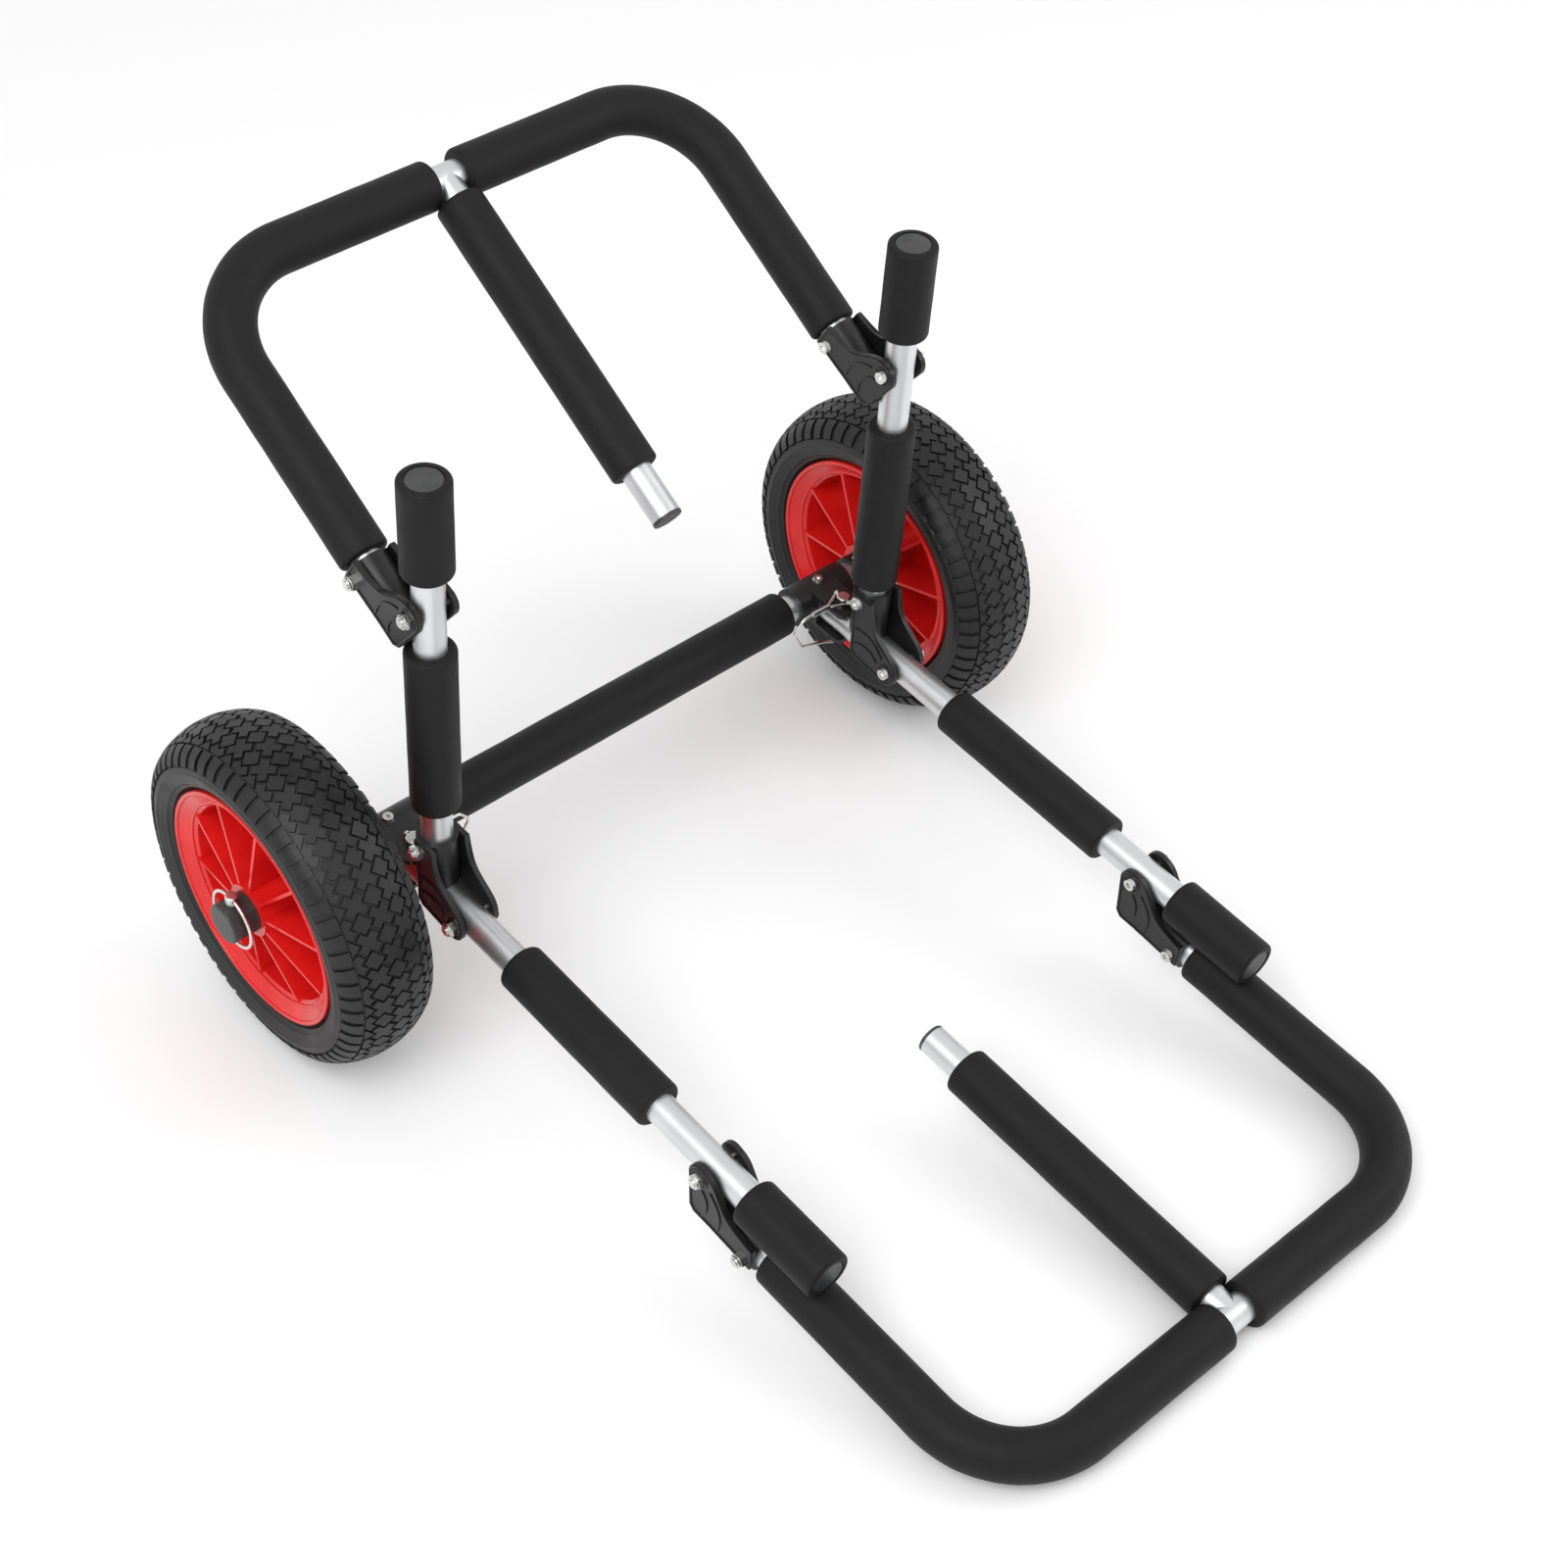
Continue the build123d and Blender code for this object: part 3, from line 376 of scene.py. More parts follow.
class Finishes:
    """Every finish of the cart, made once."""

    def __init__(self) -> None:
        """Builds the materials by slot name."""
        effects = SurfaceEffects()
        plans = {
            "foam": Finish("foam_sleeve", (0.0055, 0.0055, 0.006), (0.009, 0.009, 0.0095), (0.5, 0.66),
                           grain=900.0, bump=0.0003, dust=0.0, specular=0.22),
            "aluminium": Finish("satin_aluminium", (0.66, 0.67, 0.68), (0.72, 0.73, 0.74), (0.34, 0.44),
                                metallic=1.0, grain=2500.0, bump=0.00002, dust=0.04, along=(1.0, 0.0, 0.0)),
            "bracket": Finish("black_nylon", (0.007, 0.007, 0.0075), (0.014, 0.014, 0.0145), (0.3, 0.44),
                              grain=1800.0, bump=0.00006, dust=0.015, specular=0.36),
            "cap": Finish("end_cap_plastic", (0.02, 0.021, 0.023), (0.04, 0.041, 0.043), (0.34, 0.5),
                          grain=1800.0, bump=0.00005, dust=0.08),
            "steel": Finish("zinc_steel", (0.62, 0.62, 0.6), (0.74, 0.74, 0.72), (0.18, 0.34), metallic=1.0,
                            grain=3000.0, bump=0.00001, dust=0.02),
            "tyre": Finish("tyre_rubber", (0.006, 0.006, 0.0063), (0.012, 0.012, 0.012), (0.38, 0.56),
                           grain=1200.0, bump=0.0001, dust=0.015, specular=0.38),
            "rim": Finish("red_rim_plastic", (0.62, 0.010, 0.010), (0.72, 0.016, 0.014), (0.16, 0.26),
                          grain=500.0, bump=0.00003, dust=0.0, coat=0.12, specular=0.4),
            "bush": Finish("bush_plastic", (0.03, 0.03, 0.031), (0.05, 0.05, 0.05), (0.45, 0.6), grain=1600.0,
                           bump=0.00005, dust=0.05),
        }
        self.made = {slot: plan.material(effects) for slot, plan in plans.items()}

    def dress(self, piece: Piece, slot: str) -> None:
        """Puts one finish on a whole piece."""
        piece.data.materials.clear()
        piece.data.materials.append(self.made[slot])


# ---- mesh tools
def piece_from(name: str, points: Iterable[Sequence[float]], faces: Iterable[Sequence[int]],
               smooth_angle: float = 35.0) -> Piece:
    """Makes a linked object from points and faces, with its normals outward.

    Args:
        name: The object's name.
        points: Vertex positions in metres.
        faces: Vertex indices of each face.
        smooth_angle: Edges sharper than this many degrees stay sharp.

    Returns:
        The new object.
    """
    mesh = bpy.data.meshes.new(name)
    mesh.from_pydata([tuple(p) for p in points], [], [tuple(f) for f in faces])
    work = bmesh.new()
    work.from_mesh(mesh)
    bmesh.ops.recalc_face_normals(work, faces=work.faces)
    work.to_mesh(mesh)
    work.free()
    mesh.shade_smooth()
    mesh.set_sharp_from_angle(angle=math.radians(smooth_angle))
    made = bpy.data.objects.new(name, mesh)
    bpy.context.scene.collection.objects.link(made)
    return made


def band_faces(rows: int, count: int, looped: bool = True) -> list[tuple[int, int, int, int]]:
    """Faces between rows of points, where the last row meets the first.

    Args:
        rows: Number of rows.
        count: Number of points in a row.
        looped: True if each row closes on itself.

    Returns:
        The faces, row by row.
    """
    return [(r * count + i, r * count + (i + 1) % count, (r + 1) % rows * count + (i + 1) % count,
             (r + 1) % rows * count + i) for r in range(rows) for i in range(count if looped else count - 1)]


def join(name: str, parts: Sequence[Piece], smooth_angle: float = 35.0) -> Piece:
    """Joins mesh objects at the origin into one, and removes them.

    Args:
        name: Name of the joined piece.
        parts: The pieces, which are removed.
        smooth_angle: Edges sharper than this many degrees stay sharp.

    Returns:
        The joined piece.
    """
    points: list[Vector] = []
    faces: list[list[int]] = []
    for part in parts:
        start = len(points)
        points += [v.co.copy() for v in part.data.vertices]
        faces += [[start + i for i in f.vertices] for f in part.data.polygons]
        bpy.data.objects.remove(part)
    return piece_from(name, points, faces, smooth_angle)


@dataclass
class TubePath:
    """A tube's centre line: one straight leg, or two legs with a bend between.

    Attributes:
        start: First point.
        first: Direction of the first leg.
        first_length: Length of the first leg up to its bend, or of the whole line.
        second: Direction of the second leg, or None.
        bend: Radius of the bend.
        second_length: Length of the second leg after its bend.
    """

    start: Vector
    first: Vector
    first_length: float
    second: Optional[Vector] = None
    bend: float = 0.0
    second_length: float = 0.0

    @property
    def turn(self) -> float:
        """Angle of the bend in radians."""
        return self.first.angle(self.second) if self.second else 0.0

    @property
    def length(self) -> float:
        """Length along the whole centre line."""
        return self.first_length + self.turn * self.bend + self.second_length

    def at(self, distance: float) -> tuple[Vector, Vector]:
        """Point and direction at a distance along the line.

        Args:
            distance: Distance from the start.

        Returns:
            The point and the unit direction there.
        """
        if self.second is None or distance <= self.first_length:
            return self.start + self.first * distance, self.first
        arc = self.turn * self.bend
        inward = (self.second - self.first * self.first.dot(self.second)).normalized()
        centre = self.start + self.first * self.first_length + inward * self.bend
        swung = min((distance - self.first_length) / self.bend, self.turn)
        point = centre + (self.first * math.sin(swung) - inward * math.cos(swung)) * self.bend
        heading = self.first * math.cos(swung) + inward * math.sin(swung)
        return point + heading * max(0.0, distance - self.first_length - arc), heading


def swept(name: str, path: TubePath, profile: Sequence[Spot], segments: int = 48,
          waver: float = 0.0, smooth_angle: float = 35.0) -> Piece:
    """Turns a closed profile of (distance, radius) round a path.

    Args:
        name: The piece's name.
        path: The centre line.
        profile: Loop of distances along the line and radii about it.
        segments: Number of steps round.
        waver: Greatest inward unevenness of the points.
        smooth_angle: Edges sharper than this stay sharp.

    Returns:
        The closed ring.
    """
    normal = (path.first.cross(path.second).normalized() if path.second
              else path.first.orthogonal().normalized())
    points = []
    for distance, radius in profile:
        centre, heading = path.at(distance)
        other = heading.cross(normal).normalized()
        for step in range(segments):
            angle = FULL_TURN * step / segments
            out = normal * math.cos(angle) + other * math.sin(angle)
            spot = centre + out * radius
            dip = waver * (0.5 + 0.5 * noise.noise(spot * WAVER_PER_METRE)) if waver else 0.0
            points.append(spot - out * dip)
    return piece_from(name, points, band_faces(len(profile), segments), smooth_angle)


# ---- placed copies
class RingOfCopies:
    """Geometry Nodes tree that repeats a piece evenly about an axle along X."""

    def __init__(self) -> None:
        """Builds the tree once."""
        tree = bpy.data.node_groups.new("ring_of_copies", "GeometryNodeTree")
        face = tree.interface
        face.new_socket("Geometry", in_out="INPUT", socket_type="NodeSocketGeometry")
        for label, kind in (("Count", "NodeSocketInt"), ("Start angle", "NodeSocketFloat"),
                            ("Axle point", "NodeSocketVector"), ("Finish", "NodeSocketMaterial")):
            face.new_socket(label, in_out="INPUT", socket_type=kind)
        face.new_socket("Geometry", in_out="OUTPUT", socket_type="NodeSocketGeometry")
        nodes = NodeTree(tree)
        given, result = nodes.add("NodeGroupInput"), nodes.add("NodeGroupOutput")
        line = nodes.add("GeometryNodeMeshLine", {"Count": given.outputs["Count"]})
        line.inputs["Offset"].default_value = (0.0, 0.0, 0.0)
        dots = nodes.add("GeometryNodeMeshToPoints", {"Mesh": line.outputs[0]})
        index = nodes.add("GeometryNodeInputIndex")
        share = nodes.math("DIVIDE", index.outputs[0], given.outputs["Count"])
        turn = nodes.math("ADD", nodes.math("MULTIPLY", share, FULL_TURN), given.outputs["Start angle"])
        spin = nodes.add("ShaderNodeCombineXYZ", {"X": turn})
        copies = nodes.add("GeometryNodeInstanceOnPoints", {"Points": dots.outputs[0],
                                                            "Instance": given.outputs["Geometry"],
                                                            "Rotation": spin.outputs[0]})
        real = nodes.add("GeometryNodeRealizeInstances", {"Geometry": copies.outputs[0]})
        moved = nodes.add("GeometryNodeTransform", {"Geometry": real.outputs[0],
                                                    "Translation": given.outputs["Axle point"]})
        painted = nodes.add("GeometryNodeSetMaterial", {"Geometry": moved.outputs[0],
                                                        "Material": given.outputs["Finish"]})
        tree.links.new(painted.outputs[0], result.inputs[0])
        self.tree = tree

    def repeat(self, name: str, one: Piece, count: int, start: float, centre: Vector,
               finish: bpy.types.Material) -> Piece:
        """Repeats a piece and turns the result into a plain mesh.

        Args:
            name: Name of the finished piece.
            one: The piece that is repeated, about the X axis through the origin.
            count: Number of copies.
            start: Angle of the first copy in radians.
            centre: Point of the axle that the ring is moved to.
            finish: Material of the result.

        Returns:
            The finished piece.
        """
        modifier = one.modifiers.new("ring", "NODES")
        modifier.node_group = self.tree
        values = {"Count": count, "Start angle": start, "Axle point": tuple(centre), "Finish": finish}
        for item in self.tree.interface.items_tree:
            if item.item_type == "SOCKET" and item.in_out == "INPUT" and item.name in values:
                modifier[item.identifier] = values[item.name]
        bpy.context.view_layer.update()
        mesh = bpy.data.meshes.new_from_object(one.evaluated_get(bpy.context.evaluated_depsgraph_get()))
        mesh.name = name
        bpy.data.objects.remove(one)
        made = bpy.data.objects.new(name, mesh)
        bpy.context.scene.collection.objects.link(made)
        return made


# ---- foam sleeves
@dataclass
class FoamSleeves:
    """The foam sleeves on the frame's tubes.

    Attributes:
        cart: The cart's lines.
        finishes: The finishes.
        outer: Outer radius.
        inner: Radius of the bore on the tube.
        pocket: Radius of the bore where a plug's head sits.
        pocket_depth: Depth of that wider bore.
        round: Radius of the rounded ends.
        waver: Greatest unevenness of the surface.
        step: Spacing of the rings along a sleeve.
        bow_bend: Radius of the bows' corners.
        crossbar_gap: Half the bare length in the middle of a crossbar.
        rear_reach: Distance from the rear bow's base to its crossbar.
        rear_start: Distance from its base to its sleeves.
        front_reach: The same reach for the front bow.
        front_start: The same start for the front bow.
    """

    cart: CartFrame
    finishes: Finishes
    outer: float = 0.0178
    inner: float = 0.01115
    pocket: float = 0.0128
    pocket_depth: float = 0.0056
    round: float = 0.003
    waver: float = 0.00035
    step: float = 0.003
    bow_bend: float = 0.070
    crossbar_gap: float = 0.012
    rear_reach: float = 0.268
    rear_start: float = 0.0565
    front_reach: float = 0.275
    front_start: float = 0.060

    def profile(self, length: float, plug_end: bool) -> list[Spot]:
        """Closed profile of a sleeve, with a wider bore at its far end if it takes a plug.

        Args:
            length: Length of the sleeve.
            plug_end: True if its far end holds a plug.

        Returns:
            Distances along the sleeve and radii about it.
        """
        loop = [(self.round * (1 - math.cos(a)), self.outer - self.round * (1 - math.sin(a)))
                for a in (math.pi / 2 * i / 6 for i in range(7))]
        rows = max(2, int((length - 2 * self.round) / self.step))
        loop += [(self.round + (length - 2 * self.round) * i / rows, self.outer) for i in range(1, rows)]
        loop += [(length - d, r) for d, r in reversed(loop[:7])]
        if plug_end:
            loop += [(length, self.pocket), (length - self.pocket_depth, self.pocket),
                     (length - self.pocket_depth, self.inner)]
        else:
            loop.append((length, self.inner))
        rows = max(2, int(length / (self.step * 3)))
        last = loop[-1][0]
        loop += [(last * (1 - i / rows), self.inner) for i in range(1, rows + 1)]
        return loop

    def sleeve(self, node: str, path: TubePath, plug_end: bool = False) -> None:
        """Makes one sleeve in the place of its CAD node.

        Args:
            node: The CAD node that it replaces.
            path: The sleeve's centre line, as long as the sleeve.
            plug_end: True if its far end holds a plug.
        """
        made = swept(node + "_sleeve", path, self.profile(path.length, plug_end), 56, self.waver)
        self.finishes.dress(made, "foam")
        attach(made, body_holding(node), "foam", node)

    def straight(self, node: str, direction: Vector, plug_end: bool = False) -> None:
        """Makes a straight sleeve that fills its CAD node's reach along a direction.

        Args:
            node: The CAD node that it replaces.
            direction: Unit direction of its tube.
            plug_end: True if its far end holds a plug.
        """
        vertices = [v.co for v in frame["nodes"][node].data.vertices]
        reach = [v.dot(direction) for v in vertices]
        low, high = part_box(node)
        middle = (low + high) / 2
        start = middle + direction * (min(reach) - middle.dot(direction))
        self.sleeve(node, TubePath(start, direction, max(reach) - min(reach)), plug_end)

    def bow(self, node: str, base: Vector, angle: float, side: Side, reach: float, start: float) -> None:
        """Makes a sleeve round a bow's corner: along the rail, round the bend and in along the crossbar.

        Args:
            node: The CAD node that it replaces.
            base: Point of the bow's plane level with its pivots.
            angle: The bow's angle in degrees.
            side: The side of the cart.
            reach: Distance from the base to the crossbar.
            start: Distance from the base to the sleeve.
        """
        out = self.cart.turned(angle)
        rail = Vector((self.cart.rail_x * side.value, 0, 0))
        first = reach - self.bow_bend - start
        second = self.cart.rail_x - self.bow_bend - self.crossbar_gap
        path = TubePath(base + rail + out * start, out, first, ACROSS * -side.value, self.bow_bend, second)
        self.sleeve(node, path)

    def build(self) -> None:
        """Makes every sleeve."""
        cart = self.cart
        arms, uprights = cart.forward, cart.turned(cart.upright_angle)
        self.straight("axle_foam", ACROSS)
        for side in Side:
            self.straight(f"arm_foam_{side.word}", arms)
            self.straight(f"arm_end_foam_{side.word}", arms, True)
            self.straight(f"leg_foam_{side.word}", uprights)
            self.straight(f"grip_foam_{side.word}", uprights, True)
            self.bow(f"rear_bow_foam_{side.word}", cart.rear_base(), cart.rear_angle, side, self.rear_reach,
                     self.rear_start)
            self.bow(f"front_bow_foam_{side.word}", cart.front_base(), 0.0, side, self.front_reach,
                     self.front_start)
        self.straight("rear_stem_foam", cart.turned(cart.rear_angle))
        self.straight("front_stem_foam", arms)


def body_holding(node: str) -> str:
    """Name of the body that holds a CAD node.

    Args:
        node: The CAD node's name.

    Returns:
        The body's name.
    """
    for body, members in frame["record"]["behaviour"]["bodies"].items():
        if node in members:
            return body
    raise KeyError(node)


def attach(piece: Piece, body: str, slot: str, *nodes: str) -> None:
    """Rides a piece on its body and hides the CAD nodes it stands for.

    Args:
        piece: The finished piece.
        body: The body that it rides on.
        slot: The record's slot for its finish; not used.
        *nodes: CAD nodes that it stands for.
    """
    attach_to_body(piece, body)
    if nodes:
        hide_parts(*nodes)
    LOG.info("%s on %s", piece.name, body)


# ---- wheels
@dataclass
class TyreShape:
    """Cross-section of a tyre: a crowned tread, square shoulders and bulging walls.

    Attributes:
        radius: Rolling radius at the crown.
        half: Half the width at the belly.
        shoulder_x: Half the width of the tread.
        drop: How far the shoulders lie below the crown.
        bead: (x, radius) where a wall meets the rim.
        seat: (x, radius) of the seat inside the rim.
        groove: Depth of the tread's grooves.
        groove_past: How far the grooves run on past the lugs.
        wall_foot: Radius of the wall's foot, which sets the belly's height.
        lines: Places of the walls' raised lines, as shares of the reach.
        line_half: Half the width of a line, as a share of the reach.
        line_sunk: Depth of a line's face.
        wall_sunk: Depth of the wall between the lines.
        bead_share: Share of the reach where the bead begins.
        bead_sunk: Depth of the bead.
    """

    radius: float = 0.130
    half: float = 0.038
    shoulder_x: float = 0.031
    drop: float = 0.009
    bead: Spot = (0.029, 0.0901)
    seat: Spot = (0.0249, 0.0821)
    groove: float = 0.0019
    groove_past: float = 0.0004
    wall_foot: float = 0.090
    lines: tuple[float, ...] = (0.74, 0.86, 0.93)
    line_half: float = 0.012
    line_sunk: float = 0.0003
    wall_sunk: float = 0.0009
    bead_share: float = 0.985
    bead_sunk: float = 0.0001

    def __post_init__(self) -> None:
        """Works out the crown's and the wall's circles."""
        self.crown = (self.shoulder_x ** 2 + self.drop ** 2) / (2 * self.drop)
        top = (self.shoulder_x, self.radius - self.drop)
        belly = (self.half, (top[1] + self.wall_foot) / 2)
        self.wall = self._circle(top, belly, self.bead)
        self.crown_reach = self.crown * math.asin(self.shoulder_x / self.crown)

    @staticmethod
    def _circle(a: tuple, b: tuple, c: tuple) -> tuple[float, float, float, float, float]:
        """Centre, radius, first and last angle of the arc through three points.

        Args:
            a: First point.
            b: A point between.
            c: Last point.

        Returns:
            The centre's x and y, the radius, and the angles of a and c.
        """
        d = 2 * (a[0] * (b[1] - c[1]) + b[0] * (c[1] - a[1]) + c[0] * (a[1] - b[1]))
        squares = [p[0] ** 2 + p[1] ** 2 for p in (a, b, c)]
        x = (squares[0] * (b[1] - c[1]) + squares[1] * (c[1] - a[1]) + squares[2] * (a[1] - b[1])) / d
        y = (squares[0] * (c[0] - b[0]) + squares[1] * (a[0] - c[0]) + squares[2] * (b[0] - a[0])) / d
        return (x, y, math.dist((x, y), a), math.atan2(a[1] - y, a[0] - x), math.atan2(c[1] - y, c[0] - x))

    def surface(self, along: float, depth: float = 0.0) -> Spot:
        """Point (x, radius) of the outside, by arc length from the crown, sunk by a depth.

        Args:
            along: Arc length from the crown, signed by side.
            depth: How far the point is sunk.

        Returns:
            The point's x and its radius about the axle.
        """
        sign, reach = (1 if along >= 0 else -1), abs(along)
        if reach <= self.crown_reach:
            turn = reach / self.crown
            return (sign * (self.crown - depth) * math.sin(turn),
                    self.radius - self.crown + (self.crown - depth) * math.cos(turn))
        x, y, radius, first, last = self.wall
        angle = max(last, first - (reach - self.crown_reach) / radius)
        return sign * (x + (radius - depth) * math.cos(angle)), y + (radius - depth) * math.sin(angle)

    @property
    def reach(self) -> float:
        """Arc length from the crown to the bead."""
        return self.crown_reach + self.wall[2] * (self.wall[3] - self.wall[4])


@dataclass
class Wheels:
    """Both wheels: treaded tyres and gloss rims with lip beads.

    Attributes:
        cart: The cart's lines.
        finishes: The finishes.
        copies: The tree that repeats the tread cell.
        shape: The tyres' cross-section.
        cells: Number of tread cells round a tyre.
        arm: Half the width of a tread cross's arms.
        arm_reach: Half the length of the arms.
        square: Half the side of the squares between crosses.
        tread_edge: Arc length from the crown where the crosses stop.
        lug_start: Arc length where the shoulder lugs begin.
        lug_end: Arc length where they end.
        lug_half: Half the length of a lug along the tread.
        rooted: How far a block goes into the carcass below its groove.
        block_taper: Size of a block's top against its foot.
        lug_taper: Share by which a lug narrows down the wall.
        lug_sunk: How far a lug's face lies below the tread's surface.
        lug_rooted: How far a lug goes into the carcass below the groove.
        lip_inset: Distance of the lips' beads from the rim's edge.
        lip_size: Radius of a lip's bead in section.
        throat_size: Radius of a throat's bead in section.
        rim_half: Half the width of a rim across its lips.
        lip_radius: Distance of the lips' beads from the axle.
        throat: (x, radius) of the beads inside the lips.
    """

    cart: CartFrame
    finishes: Finishes
    copies: RingOfCopies
    shape: TyreShape
    cells: int = 29
    arm: float = 0.00325
    arm_reach: float = 0.0088
    square: float = 0.0053
    tread_edge: float = 0.0272
    lug_start: float = 0.0284
    lug_end: float = 0.0445
    lug_half: float = 0.0054
    rooted: float = 0.0004
    block_taper: float = 0.95
    lug_taper: float = 0.22
    lug_sunk: float = 0.0002
    lug_rooted: float = 0.0006
    lip_inset: float = 0.0012
    lip_size: float = 0.0018
    throat_size: float = 0.0012
    rim_half: float = 0.033
    lip_radius: float = 0.0885
    throat: Spot = (0.0262, 0.0786)

    def _clipped(self, loop: list[Spot]) -> list[Spot]:
        """A tread shape cut off at both edges of the tread.

        Args:
            loop: The shape, as (across, along) points.

        Returns:
            The shape that is left, which may be empty.
        """
        for sign in (1, -1):
            kept = []
            for a, b in zip(loop, loop[1:] + loop[:1]):
                inside_a, inside_b = sign * a[0] <= self.tread_edge, sign * b[0] <= self.tread_edge
                if inside_a:
                    kept.append(a)
                if inside_a != inside_b:
                    t = (sign * self.tread_edge - a[0]) / (b[0] - a[0])
                    kept.append((sign * self.tread_edge, a[1] + t * (b[1] - a[1])))
            loop = kept
        return loop

    def _wrapped(self, across: float, rolling: float, depth: float) -> Vector:
        """Point of the tyre at an arc length across the tread and a distance along it.

        Args:
            across: Arc length from the crown.
            rolling: Distance along the tread.
            depth: How far the point is sunk.

        Returns:
            The point about the origin.
        """
        x, radius = self.shape.surface(across, depth)
        angle = rolling / self.shape.radius
        return Vector((x, -radius * math.sin(angle), radius * math.cos(angle)))

    def _block(self, loop: list[Spot]) -> Piece:
        """One raised tread shape with slightly sloped sides.

        Args:
            loop: The shape, as (across, along) points.

        Returns:
            The closed block.
        """
        cx = sum(p[0] for p in loop) / len(loop)
        cy = sum(p[1] for p in loop) / len(loop)
        top = [self._wrapped(cx + (x - cx) * self.block_taper, cy + (y - cy) * self.block_taper, 0.0)
               for x, y in loop]
        foot = [self._wrapped(x, y, self.shape.groove + self.rooted) for x, y in loop]
        n = len(loop)
        faces = [tuple(range(n)), tuple(range(2 * n - 1, n - 1, -1))]
        faces += [(i, (i + 1) % n, n + (i + 1) % n, n + i) for i in range(n)]
        return piece_from("block", top + foot, faces, 25.0)

    def _lug(self, side: int, rolling: float) -> Piece:
        """One shoulder lug that runs from the tread down the wall.

        Args:
            side: Sign of the shoulder.
            rolling: Distance of its middle along the tread.

        Returns:
            The closed lug.
        """
        steps = 5
        spots = [self.lug_start + (self.lug_end - self.lug_start) * i / steps for i in range(steps + 1)]
        points = []
        for depth in (self.lug_sunk, self.shape.groove + self.lug_rooted):
            for edge in (-1, 1):
                for i, spot in enumerate(spots):
                    half = self.lug_half * (1 - self.lug_taper * i / steps)
                    points.append(self._wrapped(side * spot, rolling + edge * half, depth))
        n, faces = steps + 1, []
        for i in range(steps):
            faces += [(i, i + 1, n + i + 1, n + i), (2 * n + i, 3 * n + i, 3 * n + i + 1, 2 * n + i + 1),
                      (i, 2 * n + i, 2 * n + i + 1, i + 1), (n + i, n + i + 1, 3 * n + i + 1, 3 * n + i)]
        faces += [(0, n, 3 * n, 2 * n), (steps, 2 * n + steps, 3 * n + steps, n + steps)]
        return piece_from("lug", points, faces, 25.0)

    def _cell(self) -> Piece:
        """One cell of the tread: crosses and squares turned by 45 degrees, and its shoulder lugs.

        Returns:
            The cell as one piece.
        """
        half = math.pi * self.shape.radius / self.cells
        a, r = self.arm, self.arm_reach
        cross = [(a, r), (-a, r), (-a, a), (-r, a), (-r, -a), (-a, -a), (-a, -r), (a, -r), (a, -a), (r, -a),
                 (r, a), (a, a)]
        s = self.square
        square = [(s, s), (-s, s), (-s, -s), (s, -s)]
        diagonal = math.sqrt(0.5)
        parts = []
        for column in range(-2, 3):
            for row in range(2):
                flat = cross if (column + row) % 2 == 0 else square
                turned = [((x - y) * diagonal + column * half, (x + y) * diagonal + row * half)
                          for x, y in flat]
                loop = self._clipped(turned)
                if len(loop) > 2:
                    parts.append(self._block(loop))
        for side in (-1, 1):
            parts += [self._lug(side, (row + 0.5) * half) for row in range(2)]
        return join("tread_cell", parts, 25.0)

    def _carcass(self, name: str, centre: Vector) -> Piece:
        """The tyre's body under its tread, with raised lines on its walls.

        Args:
            name: Name of the piece.
            centre: The wheel's centre.

        Returns:
            The closed ring.
        """
        shape, loop = self.shape, []
        stations = 90
        for i in range(stations + 1):
            along = shape.reach * (2 * i / stations - 1)
            share = abs(along) / shape.reach
            if abs(along) < self.lug_end + shape.groove_past:
                depth = shape.groove
            else:
                raised = any(abs(share - line) < shape.line_half for line in shape.lines)
                depth = shape.line_sunk if raised else shape.wall_sunk
            loop.append(shape.surface(along, depth if share < shape.bead_share else shape.bead_sunk))
        loop += [shape.seat, (-shape.seat[0], shape.seat[1])]
        return swept(name, TubePath(centre, ACROSS, 1.0), loop, 128, smooth_angle=28.0)

    def _beads(self, name: str, centre: Vector) -> Piece:
        """Round beads along the lips and throats of a rim.

        Args:
            name: Name of the piece.
            centre: The wheel's centre.

        Returns:
            The beads as one piece.
        """
        rings = []
        for spot, size in (((self.rim_half - self.lip_inset, self.lip_radius), self.lip_size),
                           (self.throat, self.throat_size)):
            for sign in (-1, 1):
                loop = [(sign * spot[0] + size * math.cos(FULL_TURN * i / 12),
                         spot[1] + size * math.sin(FULL_TURN * i / 12)) for i in range(12)]
                rings.append(swept("bead", TubePath(centre, ACROSS, 1.0), loop, 128))
        return join(name, rings, 50.0)

    def build(self) -> None:
        """Makes the tyres and the rims' beads."""
        for side in Side:
            word = side.word
            x = side.value * self.cart.wheel_x
            centre = Vector((x, self.cart.axle.y, self.cart.axle.z))
            carcass = self._carcass(f"tyre_carcass_{word}", centre)
            self.finishes.dress(carcass, "tyre")
            attach(carcass, f"{word}_wheel", "tyre", f"wheel_tyre_{word}")
            tread = self.copies.repeat(f"tyre_tread_{word}", self._cell(), self.cells, 0.0, centre,
                                       self.finishes.made["tyre"])
            attach(tread, f"{word}_wheel", "tyre")
            beads = self._beads(f"rim_beads_{word}", centre)
            self.finishes.dress(beads, "rim")
            attach(beads, f"{word}_wheel", "rim")


